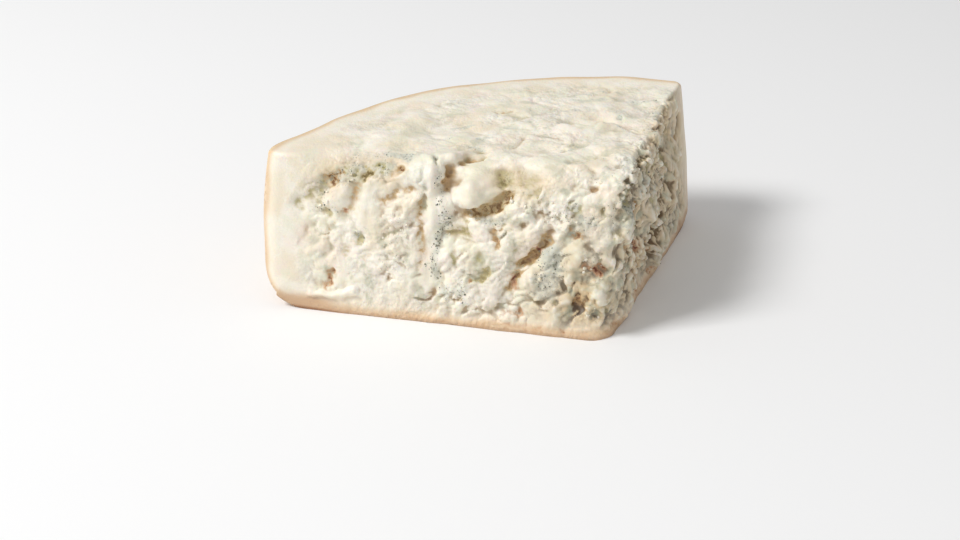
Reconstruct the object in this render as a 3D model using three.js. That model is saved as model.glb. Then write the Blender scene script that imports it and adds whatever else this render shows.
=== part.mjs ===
// A wedge of gorgonzola: about a quarter of a wheel that was first halved through its
// height. Millimetres, +Z up. It lies on the wheel's flat rind, the halving cut is on
// top, +Y runs from the tip edge to the middle of the rind, and the origin is at the
// bottom centre of its box. The paste is soft: it is torn into lumps and crevices where
// the wire dragged, leans out at its foot, and its heel bulges.

import * as THREE from 'three';

// ---- Driving dimensions -----------------------------------------------------------

const wheelRadius = 148;        // the rind at its sharp upper edge
const pieceHeight = 73;         // half the height of the wheel
const heelBulge = 3;            // how far the rind swells beyond its upper edge
const heelMiddle = 0.4;         // where the bulge is widest, as a share of the height
const heelFullness = 3;         // 2 is a round bulge, more is fuller
const rimRounding = 22;         // radius of the wheel's lower rim

// Places of the four upright edges about the wheel's axis, at the foot and at the top.
const tipAtFoot = [5, -1.5];
const tipAtTop = [20, 5];
const leftAngle = { foot: -48.4, top: -46 };    // degrees from +Y
const rightAngle = { foot: 49.5, top: 46.5 };
const leftFlare = 6.6;                          // the left heel corner opens outwards
const flareSweep = 16;                          // degrees over which it opens

// Radii of the worn edges of the cut. Along a shoulder the radius changes in stretches,
// given as shares of the way from the tip to the rind: the left one is a wide slope over
// the great hollow, narrow at the needle strip, wide outside it and sharp at the rind.
const tipRounding = 10;
const leftShoulderAtTip = 13;
const leftShoulderStretches = [
  { from: 0.2, to: 0.3, radius: 16 },
  { from: 0.46, to: 0.54, radius: 7 },
  { from: 0.57, to: 0.65, radius: 14 },
  { from: 0.78, to: 0.95, radius: 2 },
];
const rightShoulderAtTip = 6;
const rightShoulderStretches = [{ from: 0.75, to: 0.95, radius: 2 }];
const upperRimRounding = 2;
const leftCornerRounding = 9;
const rightCornerRounding = 4;
const cornerAtFoot = 0.4;       // share of a heel corner's radius that is left at the foot

// The torn paste: broad swells, folds between them in patches, and lumps of curd. Each
// pattern is a seeded noise with one wave every `size`. Folds and lumps wander, and are
// drawn out along the way that the wire dragged through the paste.
const swell = { size: 34, height: 1.7, seed: 5 };
const fold = { size: 18, height: 1.7, width: 0.2, level: 0.65, seed: 3 };
const foldPatch = { size: 26, low: -0.15, high: 0.3, seed: 79 };
const lump = { size: 11, height: 2, seed: 7 };
const wander = { size: 19, reach: 6, seed: 71 };
const wireDrag = new THREE.Vector3(0.6, -0.5, 0.62).normalize();
const dragStretch = 1.7;
const topSmear = 0.6;           // share of the tearing that the smeared top keeps
const rightTear = 1.7;          // the right cut is torn more than the left one
const rightward = new THREE.Vector3(0.77, -0.62, 0.14);
const rightFacing = [0.3, 0.8]; // rightward part of the normal where the right cut begins
const outerTear = 0.5;          // share of the tearing in the firm paste near the rind
const outerBand = [40, 75];     // depths over which the paste grows soft
const topFacing = [0.5, 0.9];   // upward part of the normal where the top begins
const rindBand = 2;             // untorn paste under the rind
const creamBand = 26;           // depth at which the smooth paste has become fully torn
const footBand = 7;             // calmer paste next to the board
const footShare = 0.35;         // share of the relief left at the board
const sag = 0.15;               // how far lumps hang, as a share of their height
const rindWave = { size: 26, height: 0.9, seed: 9 };

// The placed lumps and crevices: how far their outlines wander, how far they fade out past
// their half width, and how unevenly a rough one is filled.
const outlineWander = { size: 9, reach: 2.5, seed: 75 };
const streakFade = 1.35;
const filling = { size: 7, least: 0.25, mean: 0.9, swing: 1.1, most: 1.4, seed: 73 };

// Mesh fineness: cells along a cut, over the height, and across the rounded lower rim.
const cellsAlong = 38;
const cellsUp = 21;
const rimRows = 6;

// ---- Seeded noise -----------------------------------------------------------------

const { clamp, lerp } = THREE.MathUtils;

function smoothstep(low, high, value) {
  const t = clamp((value - low) / (high - low), 0, 1);
  return t * t * (3 - 2 * t);
}

function hash(ix, iy, iz, seed) {
  let h = Math.imul(ix, 374761393) ^ Math.imul(iy, 668265263)
    ^ Math.imul(iz, 1274126177) ^ Math.imul(seed, 1597334677);
  h = Math.imul(h ^ (h >>> 15), 2246822519);
  h = Math.imul(h ^ (h >>> 13), 3266489917);
  return (h ^ (h >>> 16)) >>> 0;
}

const gradients = [
  [1, 1, 0], [-1, 1, 0], [1, -1, 0], [-1, -1, 0], [1, 0, 1], [-1, 0, 1],
  [1, 0, -1], [-1, 0, -1], [0, 1, 1], [0, -1, 1], [0, 1, -1], [0, -1, -1],
];

// Smooth waves between about -1 and 1, one every `size` millimetres.
function waves(point, { size, seed }) {
  const q = [point.x / size, point.y / size, point.z / size];
  const cell = q.map(Math.floor);
  const f = q.map((v, k) => v - cell[k]);
  const s = f.map((t) => t * t * t * (t * (t * 6 - 15) + 10));
  let sum = 0;
  for (let corner = 0; corner < 8; corner += 1) {
    const o = [corner & 1, (corner >> 1) & 1, corner >> 2];
    const g = gradients[hash(cell[0] + o[0], cell[1] + o[1], cell[2] + o[2], seed) % 12];
    const slope = g[0] * (f[0] - o[0]) + g[1] * (f[1] - o[1]) + g[2] * (f[2] - o[2]);
    const weight = o.reduce((w, on, k) => w * (on ? s[k] : 1 - s[k]), 1);
    sum += slope * weight;
  }
  return sum;
}

// 1 on smooth paste, falling to 0 in a sharp fold between two swells.
function folds(point, pattern) {
  return 1 - Math.exp(-Math.abs(waves(point, pattern)) / pattern.width);
}

// A point moved about by waves, so that a pattern laid on it wanders.
function wandering(point, { size, reach, seed }) {
  const shift = [0, 1, 2].map((axis) => reach * waves(point, { size, seed: seed + axis }));
  return new THREE.Vector3(...shift).add(point);
}

// A point for a pattern that is drawn out along the way of the wire.
function drawnOut(point) {
  const along = point.dot(wireDrag);
  return point.clone().addScaledVector(wireDrag, along * (1 / dragStretch - 1));
}

// ---- Form of the wedge ------------------------------------------------------------
// The wedge is a unit cube with its points moved: `a` runs from the tip along the left
// cut, `b` along the right cut, and `c` up. The faces a = 1 and b = 1 are the rind.

function rindRadius(degrees, c) {
  const bulge = 1 - Math.abs((c - heelMiddle) / (1 - heelMiddle)) ** heelFullness;
  const corner = lerp(leftAngle.foot, leftAngle.top, c);
  const flare = 1 - smoothstep(0, flareSweep, degrees - corner);
  return wheelRadius + heelBulge * bulge + leftFlare * flare;
}

function heelPoint(turn, c) {
  const left = lerp(leftAngle.foot, leftAngle.top, c);
  const right = lerp(rightAngle.foot, rightAngle.top, c);
  const degrees = lerp(left, right, turn);
  const angle = THREE.MathUtils.degToRad(degrees);
  return new THREE.Vector2(Math.sin(angle), Math.cos(angle)).multiplyScalar(rindRadius(degrees, c));
}

function tipPoint(c) {
  return new THREE.Vector2(lerp(tipAtFoot[0], tipAtTop[0], c), lerp(tipAtFoot[1], tipAtTop[1], c));
}

// A sharp edge between two faces becomes an arc: how far a point that lies `d1` and `d2`
// inside them moves away from each.
function roundEdge(d1, d2, radius) {
  const x = radius - Math.min(d1, radius);
  const y = radius - Math.min(d2, radius);
  const out = Math.hypot(x, y);
  const pull = out > 0 ? 1 - Math.max(x, y) / out : 0;
  return [x * pull, y * pull];
}

function shoulderRadius(atTip, stretches, along) {
  return stretches.reduce((before, { from, to, radius }) => (
    lerp(before, radius, smoothstep(from, to, along))
  ), atTip);
}

function formPoint(a, b, c) {
  const reach = Math.max(a, b);
  let turn = 0.5;
  if (reach > 0) turn = a >= b ? b / (2 * a) : 1 - a / (2 * b);
  const tip = tipPoint(c);
  const heel = heelPoint(turn, c);
  const plan = tip.clone().lerp(heel, reach);

  const leftCut = heelPoint(0, c).sub(tip).normalize();
  const rightCut = heelPoint(1, c).sub(tip).normalize();
  const inFromLeft = new THREE.Vector2(leftCut.y, -leftCut.x);
  const inFromRight = new THREE.Vector2(-rightCut.y, rightCut.x);
  const inFromRind = plan.clone().normalize().negate();
  const left = Math.max(plan.clone().sub(tip).dot(inFromLeft), 0);
  const right = Math.max(plan.clone().sub(tip).dot(inFromRight), 0);
  const rind = Math.max((1 - reach) * heel.distanceTo(tip), 0);
  const up = pieceHeight * c;
  const down = pieceHeight - up;

  const [rimIn, rimUp] = roundEdge(rind, up, rimRounding);
  const [edgeIn, edgeDown] = roundEdge(rind, down, upperRimRounding);
  const leftShoulder = shoulderRadius(leftShoulderAtTip, leftShoulderStretches, a);
  const [leftIn, leftDown] = roundEdge(left, down, leftShoulder);
  const rightShoulder = shoulderRadius(rightShoulderAtTip, rightShoulderStretches, b);
  const [rightIn, rightDown] = roundEdge(right, down, rightShoulder);
  const [tipLeft, tipRight] = roundEdge(left, right, tipRounding);
  const cornerShare = lerp(cornerAtFoot, 1, smoothstep(0, rimRounding, up));
  const [cornerLeft, heelLeft] = roundEdge(left, rind, cornerShare * leftCornerRounding);
  const [cornerRight, heelRight] = roundEdge(right, rind, cornerShare * rightCornerRounding);

  plan.addScaledVector(inFromRind, rimIn + edgeIn + heelLeft + heelRight);
  plan.addScaledVector(inFromLeft, leftIn + tipLeft + cornerLeft);
  plan.addScaledVector(inFromRight, rightIn + tipRight + cornerRight);
  const height = up + rimUp - Math.max(edgeDown, leftDown, rightDown);
  return new THREE.Vector3(plan.x, plan.y, height);
}

// ---- Lumps and crevices of the cut faces ------------------------------------------
// Each is a rounded streak on a cut face, along its places. A place is given by its
// distance from the tip edge and its height. `height` is negative in a crevice, and
// `smooth` is 1 where the streak is evenly filled and 0 where it is ragged.

const leftFace = [
  { name: 'great_hollow', places: [[76, 64], [62, 68]], halfWidth: 12, height: -2.0, smooth: 0.8 },
  { name: 'cream_dome', places: [[70, 61], [66, 66]], halfWidth: 8, height: 4.2, smooth: 1.0 },
  { name: 'hollow_rim', places: [[80, 57], [81.5, 63], [81, 69]],
    halfWidth: 4.5, height: -2.4, smooth: 0.9 },
  { name: 'below_dome', places: [[76, 53], [68, 52.5], [61, 54.5], [54, 60]],
    halfWidth: 4.5, height: -2.6, smooth: 0.7 },
  { name: 'slope_beside_dome', places: [[56, 71], [46, 71]],
    halfWidth: 8, height: -0.8, smooth: 0.6 },
  { name: 'outer_hollow', places: [[147, 50], [142, 56], [136, 59]],
    halfWidth: 5.5, height: -1.8, smooth: 0.4 },
  { name: 'outer_lump', places: [[129, 55], [129, 52]], halfWidth: 6.5, height: 2.0, smooth: 0.8 },
  { name: 'pink_hollow', places: [[122, 60], [122.5, 55], [125.5, 50]],
    halfWidth: 4.5, height: -1.5, smooth: 0.7 },
  { name: 'white_post', places: [[116, 60], [117, 52], [116, 44]],
    halfWidth: 5, height: 1.0, smooth: 0.7 },
  { name: 'slab_arch', places: [[108.5, 54.5], [104, 59.5], [97, 61]],
    halfWidth: 4.5, height: -1.3, smooth: 0.6 },
  { name: 'slab', places: [[103, 48], [101, 20]], halfWidth: 12, height: 1.2, smooth: 0.3 },
  { name: 'needle_strip', places: [[90, 72], [88.7, 64], [86.8, 52], [86, 40], [84.7, 19]],
    halfWidth: 3, height: 0.6, smooth: 1.0 },
  { name: 'khaki_hollow', places: [[75, 43], [70, 44.5]], halfWidth: 6, height: -2.0, smooth: 0.3 },
  { name: 'white_ridge', places: [[67, 46], [61, 37]], halfWidth: 5, height: 1.6, smooth: 0.5 },
  { name: 'middle_lump', places: [[76, 30], [69, 30]], halfWidth: 6, height: 1.5, smooth: 0.2 },
  { name: 'inner_lump', places: [[48, 52], [44, 48]], halfWidth: 8, height: 1.9, smooth: 0.1 },
  { name: 'low_lump', places: [[53, 37], [50, 33]], halfWidth: 6, height: 1.9, smooth: 0.2 },
  { name: 'foot_lump', places: [[64, 15], [56, 13]], halfWidth: 6.5, height: 1.9, smooth: 0.2 },
  { name: 'crevice', places: [[34, 43], [38, 36.5], [44, 30], [48, 18]],
    halfWidth: 4.5, height: -2.0, smooth: 0.2 },
  { name: 'blue_patch', places: [[31, 34], [30, 20]], halfWidth: 8, height: -0.8, smooth: 0.0 },
  { name: 'brow', places: [[36, 59], [28, 53]], halfWidth: 6, height: 1.9, smooth: 0.2 },
  { name: 'cheek', places: [[19, 38], [21, 31]], halfWidth: 6.5, height: 2.1, smooth: 0.4 },
  { name: 'chin', places: [[8, 24], [7, 19]], halfWidth: 5, height: 1.5, smooth: 0.2 },
  { name: 'foot_ring', places: [[27, 12], [26, 12]], halfWidth: 6, height: 1.5, smooth: 0.5 },
];

const rightFace = [
  { name: 'edge_hole', places: [[8, 62], [9, 56]], halfWidth: 5, height: -3.0, smooth: 0.0 },
  { name: 'brown_hollow', places: [[24, 49], [22, 54]], halfWidth: 4.5, height: -3.0, smooth: 0.0 },
  { name: 'upper_hollow', places: [[72, 62], [92, 58]], halfWidth: 13, height: -3.6, smooth: 0.2 },
  { name: 'side_pit', places: [[26, 36], [31, 32]], halfWidth: 5.5, height: -3.6, smooth: 0.0 },
  { name: 'side_lump', places: [[40, 48], [48, 44]], halfWidth: 11, height: 3.4, smooth: 0.2 },
  { name: 'side_crevice', places: [[62, 52], [66, 24]], halfWidth: 5.5, height: -3.8, smooth: 0.0 },
  { name: 'heel_lump', places: [[104, 44], [98, 30]], halfWidth: 12, height: 3.4, smooth: 0.3 },
  { name: 'heel_crevice', places: [[121, 56], [120, 40], [114, 28]],
    halfWidth: 5, height: -3.0, smooth: 0.0 },
  { name: 'foot_swell', places: [[84, 14], [72, 12]], halfWidth: 9, height: 2.4, smooth: 0.3 },
  { name: 'foot_pit', places: [[40, 18], [44, 8]], halfWidth: 6, height: -2.4, smooth: 0.0 },
  { name: 'red_pit', places: [[62, 15], [58, 13]], halfWidth: 5, height: -2.4, smooth: 0.0 },
];

// Shallow smears and dents of the top; their places lie about the wheel's axis.
const topFace = [
  { name: 'hollow_rim', places: [[-42, 61], [-38, 58], [-33, 59.5], [-24, 65.5]],
    halfWidth: 4.5, height: -2.4, smooth: 0.9 },
  { name: 'slope_beside_dome', places: [[-26, 55], [-16, 40]],
    halfWidth: 9, height: -1.0, smooth: 0.6 },
  { name: 'crater', places: [[33, 76], [43, 75]], halfWidth: 9, height: -4.0, smooth: 0.9 },
  { name: 'crater_lip', places: [[22, 70], [31, 63], [44, 63]],
    halfWidth: 5, height: 2.0, smooth: 0.7 },
  { name: 'step', places: [[52, 62], [50, 52]], halfWidth: 9, height: -1.8, smooth: 0.5 },
  { name: 'left_dent', places: [[-34, 98], [-10, 90]], halfWidth: 11, height: -1.6, smooth: 0.6 },
  { name: 'front_dent', places: [[-6, 60], [6, 50]], halfWidth: 9, height: -2.0, smooth: 0.5 },
  { name: 'right_dip', places: [[66, 76], [78, 92]], halfWidth: 12, height: -1.8, smooth: 0.4 },
  { name: 'smear_ridge', places: [[-60, 96], [-30, 116]], halfWidth: 8, height: 1.2, smooth: 0.5 },
  { name: 'tip_swell', places: [[22, 24], [30, 38]], halfWidth: 10, height: 1.3, smooth: 0.3 },
];

const placesOnFace = {
  left: ([along, up]) => {
    const c = up / pieceHeight;
    return formPoint(along / heelPoint(0, c).distanceTo(tipPoint(c)), 0, c);
  },
  right: ([along, up]) => {
    const c = up / pieceHeight;
    return formPoint(0, along / heelPoint(1, c).distanceTo(tipPoint(c)), c);
  },
  top: ([x, y]) => new THREE.Vector3(x, y, pieceHeight),
};

function placeStreaks(face, streaks) {
  return streaks.map((streak) => {
    const path = streak.places.map(placesOnFace[face]);
    const lines = path.slice(1).map((end, index) => new THREE.Line3(path[index], end));
    return { ...streak, lines };
  });
}

const streaks = [
  ...placeStreaks('left', leftFace),
  ...placeStreaks('right', rightFace),
  ...placeStreaks('top', topFace),
];

function distanceTo(lines, point) {
  const nearest = new THREE.Vector3();
  return Math.min(...lines.map((line) => (
    line.closestPointToPoint(point, true, nearest).distanceTo(point)
  )));
}

function streakRelief(point) {
  const { least, mean, swing, most } = filling;
  const filled = clamp(mean + swing * waves(point, filling), least, most);
  let total = 0;
  for (const { lines, halfWidth, height, smooth } of streaks) {
    const share = distanceTo(lines, point) / (streakFade * halfWidth);
    if (share < 1) total += height * (1 - share * share) ** 2 * lerp(filled, 1, smooth);
  }
  return total;
}

// How far the surface stands out of the plain form, along its normal.
function relief(point, normal) {
  const fromRind = wheelRadius - Math.hypot(point.x, point.y);
  const torn = smoothstep(rindBand, creamBand, fromRind);
  const clearOfBoard = lerp(footShare, 1, smoothstep(0, footBand, point.z));
  const share = lerp(1, topSmear, smoothstep(...topFacing, normal.z))
    * lerp(1, rightTear, smoothstep(...rightFacing, normal.dot(rightward)))
    * lerp(outerTear, 1, smoothstep(...outerBand, fromRind));
  const dragged = drawnOut(wandering(point, wander));
  const folded = smoothstep(foldPatch.low, foldPatch.high, waves(point, foldPatch));
  const tearing = swell.height * waves(point, swell)
    + fold.height * folded * (folds(dragged, fold) - fold.level)
    + lump.height * waves(dragged, lump);
  const untorn = rindWave.height * waves(point, rindWave);
  const placed = streakRelief(wandering(point, outlineWander));
  return clearOfBoard * (lerp(untorn, share * tearing, torn) + placed);
}

// A point of the plain form moved out or in by the relief. What stands out also sags,
// and near the board the surface moves sideways only, so that the foot stays flat.
function shapedPoint(point, normal) {
  const height = relief(point, normal);
  const clearOfBoard = smoothstep(0, footBand, point.z);
  const push = normal.clone().multiplyScalar(height);
  push.z -= sag * Math.max(height, 0) * (1 - Math.abs(normal.z));
  push.z *= clearOfBoard;
  return push.add(point);
}

// ---- Mesh -------------------------------------------------------------------------
// The cube's surface is a grid whose points are shared where faces meet. The underside
// is flat inside the rounded rim, so there one polygon closes it.

const points = [];
const indexOf = new Map();

function vertex(i, j, k) {
  const key = `${i},${j},${k}`;
  if (!indexOf.has(key)) {
    indexOf.set(key, points.length);
    points.push(formPoint(i / cellsAlong, j / cellsAlong, k / cellsUp));
  }
  return indexOf.get(key);
}

const triangles = [];

function quad(p, q, r, s) {
  triangles.push([p, q, r], [p, r, s]);
}

const n = cellsAlong;
const flatEnd = n - rimRows;

for (let i = 0; i < n; i += 1) {
  for (let k = 0; k < cellsUp; k += 1) {
    quad(vertex(i + 1, 0, k), vertex(i, 0, k), vertex(i, 0, k + 1), vertex(i + 1, 0, k + 1));
    quad(vertex(0, i, k), vertex(0, i + 1, k), vertex(0, i + 1, k + 1), vertex(0, i, k + 1));
    quad(vertex(n, i + 1, k), vertex(n, i, k), vertex(n, i, k + 1), vertex(n, i + 1, k + 1));
    quad(vertex(i, n, k), vertex(i + 1, n, k), vertex(i + 1, n, k + 1), vertex(i, n, k + 1));
  }
  for (let j = 0; j < n; j += 1) {
    quad(vertex(i, j, cellsUp), vertex(i, j + 1, cellsUp),
      vertex(i + 1, j + 1, cellsUp), vertex(i + 1, j, cellsUp));
    if (Math.max(i, j) >= flatEnd) {
      quad(vertex(i, j, 0), vertex(i + 1, j, 0), vertex(i + 1, j + 1, 0), vertex(i, j + 1, 0));
    }
  }
}

const form = new THREE.BufferGeometry().setFromPoints(points);
form.setIndex(triangles.flat());
form.computeVertexNormals();
const formNormals = form.getAttribute('normal');
const shaped = points.map((point, index) => (
  shapedPoint(point, new THREE.Vector3().fromBufferAttribute(formNormals, index))
));

// The flat of the underside: from the tip along the left cut, across at the start of the
// rim, and back along the right cut.
const flatOutline = [];
for (let i = 0; i < flatEnd; i += 1) flatOutline.push(vertex(i, 0, 0));
for (let j = 0; j < flatEnd; j += 1) flatOutline.push(vertex(flatEnd, j, 0));
for (let i = flatEnd; i > 0; i -= 1) flatOutline.push(vertex(i, flatEnd, 0));
for (let j = flatEnd; j > 0; j -= 1) flatOutline.push(vertex(0, j, 0));
const outline = flatOutline.map((index) => new THREE.Vector2(shaped[index].x, shaped[index].y));
for (const corners of THREE.ShapeUtils.triangulateShape(outline, [])) {
  triangles.push(corners.map((corner) => flatOutline[corner]).reverse());
}

const wedgeShape = new THREE.BufferGeometry().setFromPoints(shaped);
wedgeShape.setIndex(triangles.flat());
wedgeShape.computeBoundingBox();
const middle = wedgeShape.boundingBox.getCenter(new THREE.Vector3());
wedgeShape.translate(-middle.x, -middle.y, -wedgeShape.boundingBox.min.z);
wedgeShape.computeVertexNormals();

const paste = new THREE.MeshStandardMaterial({ color: '#ece3cf', roughness: 0.55, metalness: 0 });
const wedge = new THREE.Mesh(wedgeShape, paste);
wedge.name = 'gorgonzola_wedge';

const part = new THREE.Group();
part.add(wedge);

export default part;
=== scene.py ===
import itertools
import math

import bpy
import numpy as np
from mathutils import Matrix, Vector


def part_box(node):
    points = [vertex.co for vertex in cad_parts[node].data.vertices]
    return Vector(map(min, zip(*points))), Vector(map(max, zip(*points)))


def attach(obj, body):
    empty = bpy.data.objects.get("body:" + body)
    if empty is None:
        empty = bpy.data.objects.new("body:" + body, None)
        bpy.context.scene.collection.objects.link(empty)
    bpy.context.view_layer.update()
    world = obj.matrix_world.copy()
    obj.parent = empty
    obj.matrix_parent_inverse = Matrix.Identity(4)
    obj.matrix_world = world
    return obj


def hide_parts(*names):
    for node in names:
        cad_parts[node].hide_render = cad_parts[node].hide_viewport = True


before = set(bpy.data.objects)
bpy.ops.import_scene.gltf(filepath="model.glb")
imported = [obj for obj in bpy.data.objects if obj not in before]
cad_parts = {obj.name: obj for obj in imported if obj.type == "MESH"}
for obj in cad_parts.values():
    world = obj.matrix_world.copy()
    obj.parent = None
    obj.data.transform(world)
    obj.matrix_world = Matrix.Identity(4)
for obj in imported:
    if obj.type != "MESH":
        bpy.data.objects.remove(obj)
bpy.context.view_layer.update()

# ---- The wedge ---------------------------------------------------------------------
# A wedge of soft blue cheese, cut with a wire from a wheel that was halved through its height.
# Its creamy paste tore where the wire dragged through it, the needles that let the mould grow
# pierced it, and a thin tan rind dried on its foot and back. Sizes here are in millimetres.

MM = 0.001

# The wheel about its axis, its rind, which bulges most at HEEL_MIDDLE of the height, and the
# heel of the left cut, which stands out over a sweep of degrees.
WHEEL_RADIUS = 148.0
PIECE_HEIGHT = 73.0
HEEL_BULGE, HEEL_MIDDLE, HEEL_FULLNESS = 3.0, 0.4, 3
LEFT_FLARE, FLARE_SWEEP = 6.6, 16.0

# The cuts: plan places of their tip edge, and their angles from +Y in degrees at the foot and
# at the top. RIGHTWARD is the way the right cut faces. A place starts to count as the right cut
# or the top, and fully does, where its normal reaches these shares of RIGHTWARD or straight up.
TIP_AT_FOOT, TIP_AT_TOP = (5.0, -1.5), (20.0, 5.0)
LEFT_ANGLE, RIGHT_ANGLE = (-48.4, -46.0), (49.5, 46.5)
RIGHTWARD = np.array([0.77, -0.62, 0.14])
FACES_RIGHT, FACES_UP, FACES_DOWN = (0.3, 0.8), (0.5, 0.9), -0.7

# Radii of the edges. The left cut's upper edge changes from the tip over the great hollow, the
# needle strip and the paste outside it to the rind. CORNER_AT_FOOT is the share of a heel
# corner's radius that is left at the foot.
RIM_ROUNDING = 22.0
TIP_ROUNDING = 10.0
SHOULDER_TIP, SHOULDER_HOLLOW, SHOULDER_STRIP = 13.0, 16.0, 7.0
SHOULDER_OUTER, SHOULDER_HEEL = 14.0, 2.0
RIGHT_SHOULDER, RIGHT_SHOULDER_HEEL = 6.0, 2.0
UPPER_RIM = 2.0
LEFT_HEEL_CORNER, RIGHT_HEEL_CORNER, CORNER_AT_FOOT = 9.0, 4.0, 0.4

# The relief that the solid has too. DRAG is the way the wire pulled. The tears are calmer on
# the smeared top, deeper on the right cut, and calm down towards the rind over OUTER_BAND, the
# distances from it, until they end in CREAM_BAND. SAG is how far soft overhangs sink, as a
# share of their height.
DRAG = np.array([0.60, -0.50, 0.62]) / math.hypot(0.60, -0.50, 0.62)
SWELL_SIZE, SWELL_HEIGHT = 34.0, 1.7
FOLD_SIZE, FOLD_HEIGHT = 18.0, 1.7
LUMP_SIZE, LUMP_HEIGHT = 11.0, 2.0
RIND_WAVE_SIZE, RIND_WAVE_HEIGHT = 26.0, 0.9
TOP_SMEAR, RIGHT_TEAR, OUTER_TEAR = 0.6, 1.7, 0.5
OUTER_BAND = (40.0, 75.0)
CREAM_BAND = 26.0
FOOT_BAND, FOOT_SHARE = 7.0, 0.35
SAG, FINE_SAG = 0.15, 0.25

# Cells of the mesh along a cut and up it, and the triangles left after thinning.
CELLS_ALONG = 215
CELLS_UP = 118
MOST_TRIANGLES = 190000


def lerp(a, b, t):
    return a + (b - a) * t


def smoothstep(low, high, value):
    t = np.clip((value - low) / (high - low), 0.0, 1.0)
    return t * t * (3 - 2 * t)


def hashed(cell, seed):
    """A whole number from 0 to 2**32 for each row of whole numbers in cell."""
    ix, iy, iz = (cell[..., k].astype(np.int64).astype(np.uint32) for k in range(3))
    h = ix * np.uint32(374761393) ^ iy * np.uint32(668265263)
    h = h ^ iz * np.uint32(1274126177) ^ np.uint32(seed * 1597334677 & 0xFFFFFFFF)
    h = (h ^ (h >> np.uint32(15))) * np.uint32(2246822519)
    h = (h ^ (h >> np.uint32(13))) * np.uint32(3266489917)
    return h ^ (h >> np.uint32(16))


GRADIENTS = np.array([
    [1, 1, 0], [-1, 1, 0], [1, -1, 0], [-1, -1, 0], [1, 0, 1], [-1, 0, 1],
    [1, 0, -1], [-1, 0, -1], [0, 1, 1], [0, -1, 1], [0, 1, -1], [0, -1, -1]], float)


def waves(points, size, seed):
    """Smooth waves between about -1 and 1, one every size millimetres."""
    q = points / size
    cell = np.floor(q)
    f = q - cell
    s = f ** 3 * (f * (f * 6 - 15) + 10)
    total = np.zeros(len(q))
    for corner in range(8):
        o = np.array([corner & 1, corner >> 1 & 1, corner >> 2])
        slope = (GRADIENTS[hashed(cell + o, seed) % 12] * (f - o)).sum(1)
        total += slope * np.where(o, s, 1 - s).prod(1)
    return total


def nearest_middles(points, size, seed):
    """Distances to the nearest and second nearest of scattered middles, in sizes, and how
    high each point lies on the tilted plane of its nearest one."""
    q = points / size
    cell = np.floor(q)
    nearest = np.full(len(q), 9.0)
    second = nearest.copy()
    tilt = np.zeros(len(q))
    for step in itertools.product((-1, 0, 1), repeat=3):
        c = cell + step
        away = np.stack([c[:, n] + hashed(c, seed + n) / 2.0 ** 32 - q[:, n] for n in range(3)], 1)
        d = np.sqrt((away * away).sum(1))
        slope = GRADIENTS[hashed(c, seed + 3) % 12]
        tilt = np.where(d < nearest, (slope * away).sum(1), tilt)
        second = np.minimum(second, np.maximum(nearest, d))
        nearest = np.minimum(nearest, d)
    return nearest, second, tilt


def lumps(points, size, seed):
    """1 on a lump's crown, 0 in the crease between two lumps."""
    nearest, second, _ = nearest_middles(points, size, seed)
    return smoothstep(0, 0.55, second - nearest)


def chips(points, size, seed):
    """Tilted chips, which stand out at one side and sink into a crease at the other."""
    nearest, second, tilt = nearest_middles(points, size, seed)
    return smoothstep(0, 0.3, second - nearest) * np.clip(0.6 + 0.7 * tilt, 0, 1.3)


def folds(points, size, seed, sharpness=0.13):
    """1 on smooth paste, falling to 0 in a sharp fold between two swells."""
    return 1 - np.exp(-np.abs(waves(points, size, seed)) / sharpness)


def flakes(points, size, seed, steps):
    """Waves cut into steps, as paste that splits off in thin flakes."""
    level = steps * waves(points, size, seed)
    whole = np.floor(level)
    return (whole + smoothstep(0.3, 0.7, level - whole)) / steps


def drawn_out(points, stretch):
    """Points for a pattern that is stretched along the way the wire dragged."""
    along = points @ DRAG
    return points + np.outer(along * (1 / stretch - 1), DRAG)


def shifted(points, reach, size, seed):
    """Points moved about by waves, which makes straight things on them uneven."""
    shift = np.stack([waves(points, size, seed + k) for k in range(3)], 1)
    return points + reach * shift


def rind_radius(degrees, c):
    """Radius of the rind at an angle from +Y and a share c of the height."""
    bulge = 1 - np.abs((c - HEEL_MIDDLE) / (1 - HEEL_MIDDLE)) ** HEEL_FULLNESS
    flare = 1 - smoothstep(0, FLARE_SWEEP, degrees - lerp(*LEFT_ANGLE, c))
    return WHEEL_RADIUS + HEEL_BULGE * bulge + LEFT_FLARE * flare


def heel_point(turn, c):
    """Plan place on the rind, with turn from 0 at the left cut to 1 at the right one."""
    degrees = lerp(lerp(*LEFT_ANGLE, c), lerp(*RIGHT_ANGLE, c), turn)
    angle = np.radians(degrees)
    return rind_radius(degrees, c)[:, None] * np.stack([np.sin(angle), np.cos(angle)], 1)


def tip_point(c):
    return np.stack([lerp(TIP_AT_FOOT[k], TIP_AT_TOP[k], c) for k in (0, 1)], 1)


def round_edge(d1, d2, radius):
    """How far a point d1 and d2 inside two faces moves from each as their edge rounds."""
    x = radius - np.minimum(d1, radius)
    y = radius - np.minimum(d2, radius)
    out = np.hypot(x, y)
    pull = np.where(out > 0, 1 - np.maximum(x, y) / np.where(out > 0, out, 1), 0)
    return x * pull, y * pull


def left_shoulder(along):
    """Radius of the left cut's upper edge, from 0 at the tip to 1 at the rind."""
    radius = lerp(SHOULDER_TIP, SHOULDER_HOLLOW, smoothstep(0.2, 0.3, along))
    radius = lerp(radius, SHOULDER_STRIP, smoothstep(0.46, 0.54, along))
    radius = lerp(radius, SHOULDER_OUTER, smoothstep(0.57, 0.65, along))
    return lerp(radius, SHOULDER_HEEL, smoothstep(0.78, 0.95, along))


def unit(v):
    return v / np.maximum(np.sqrt((v * v).sum(-1, keepdims=True)), 1e-12)


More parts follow.
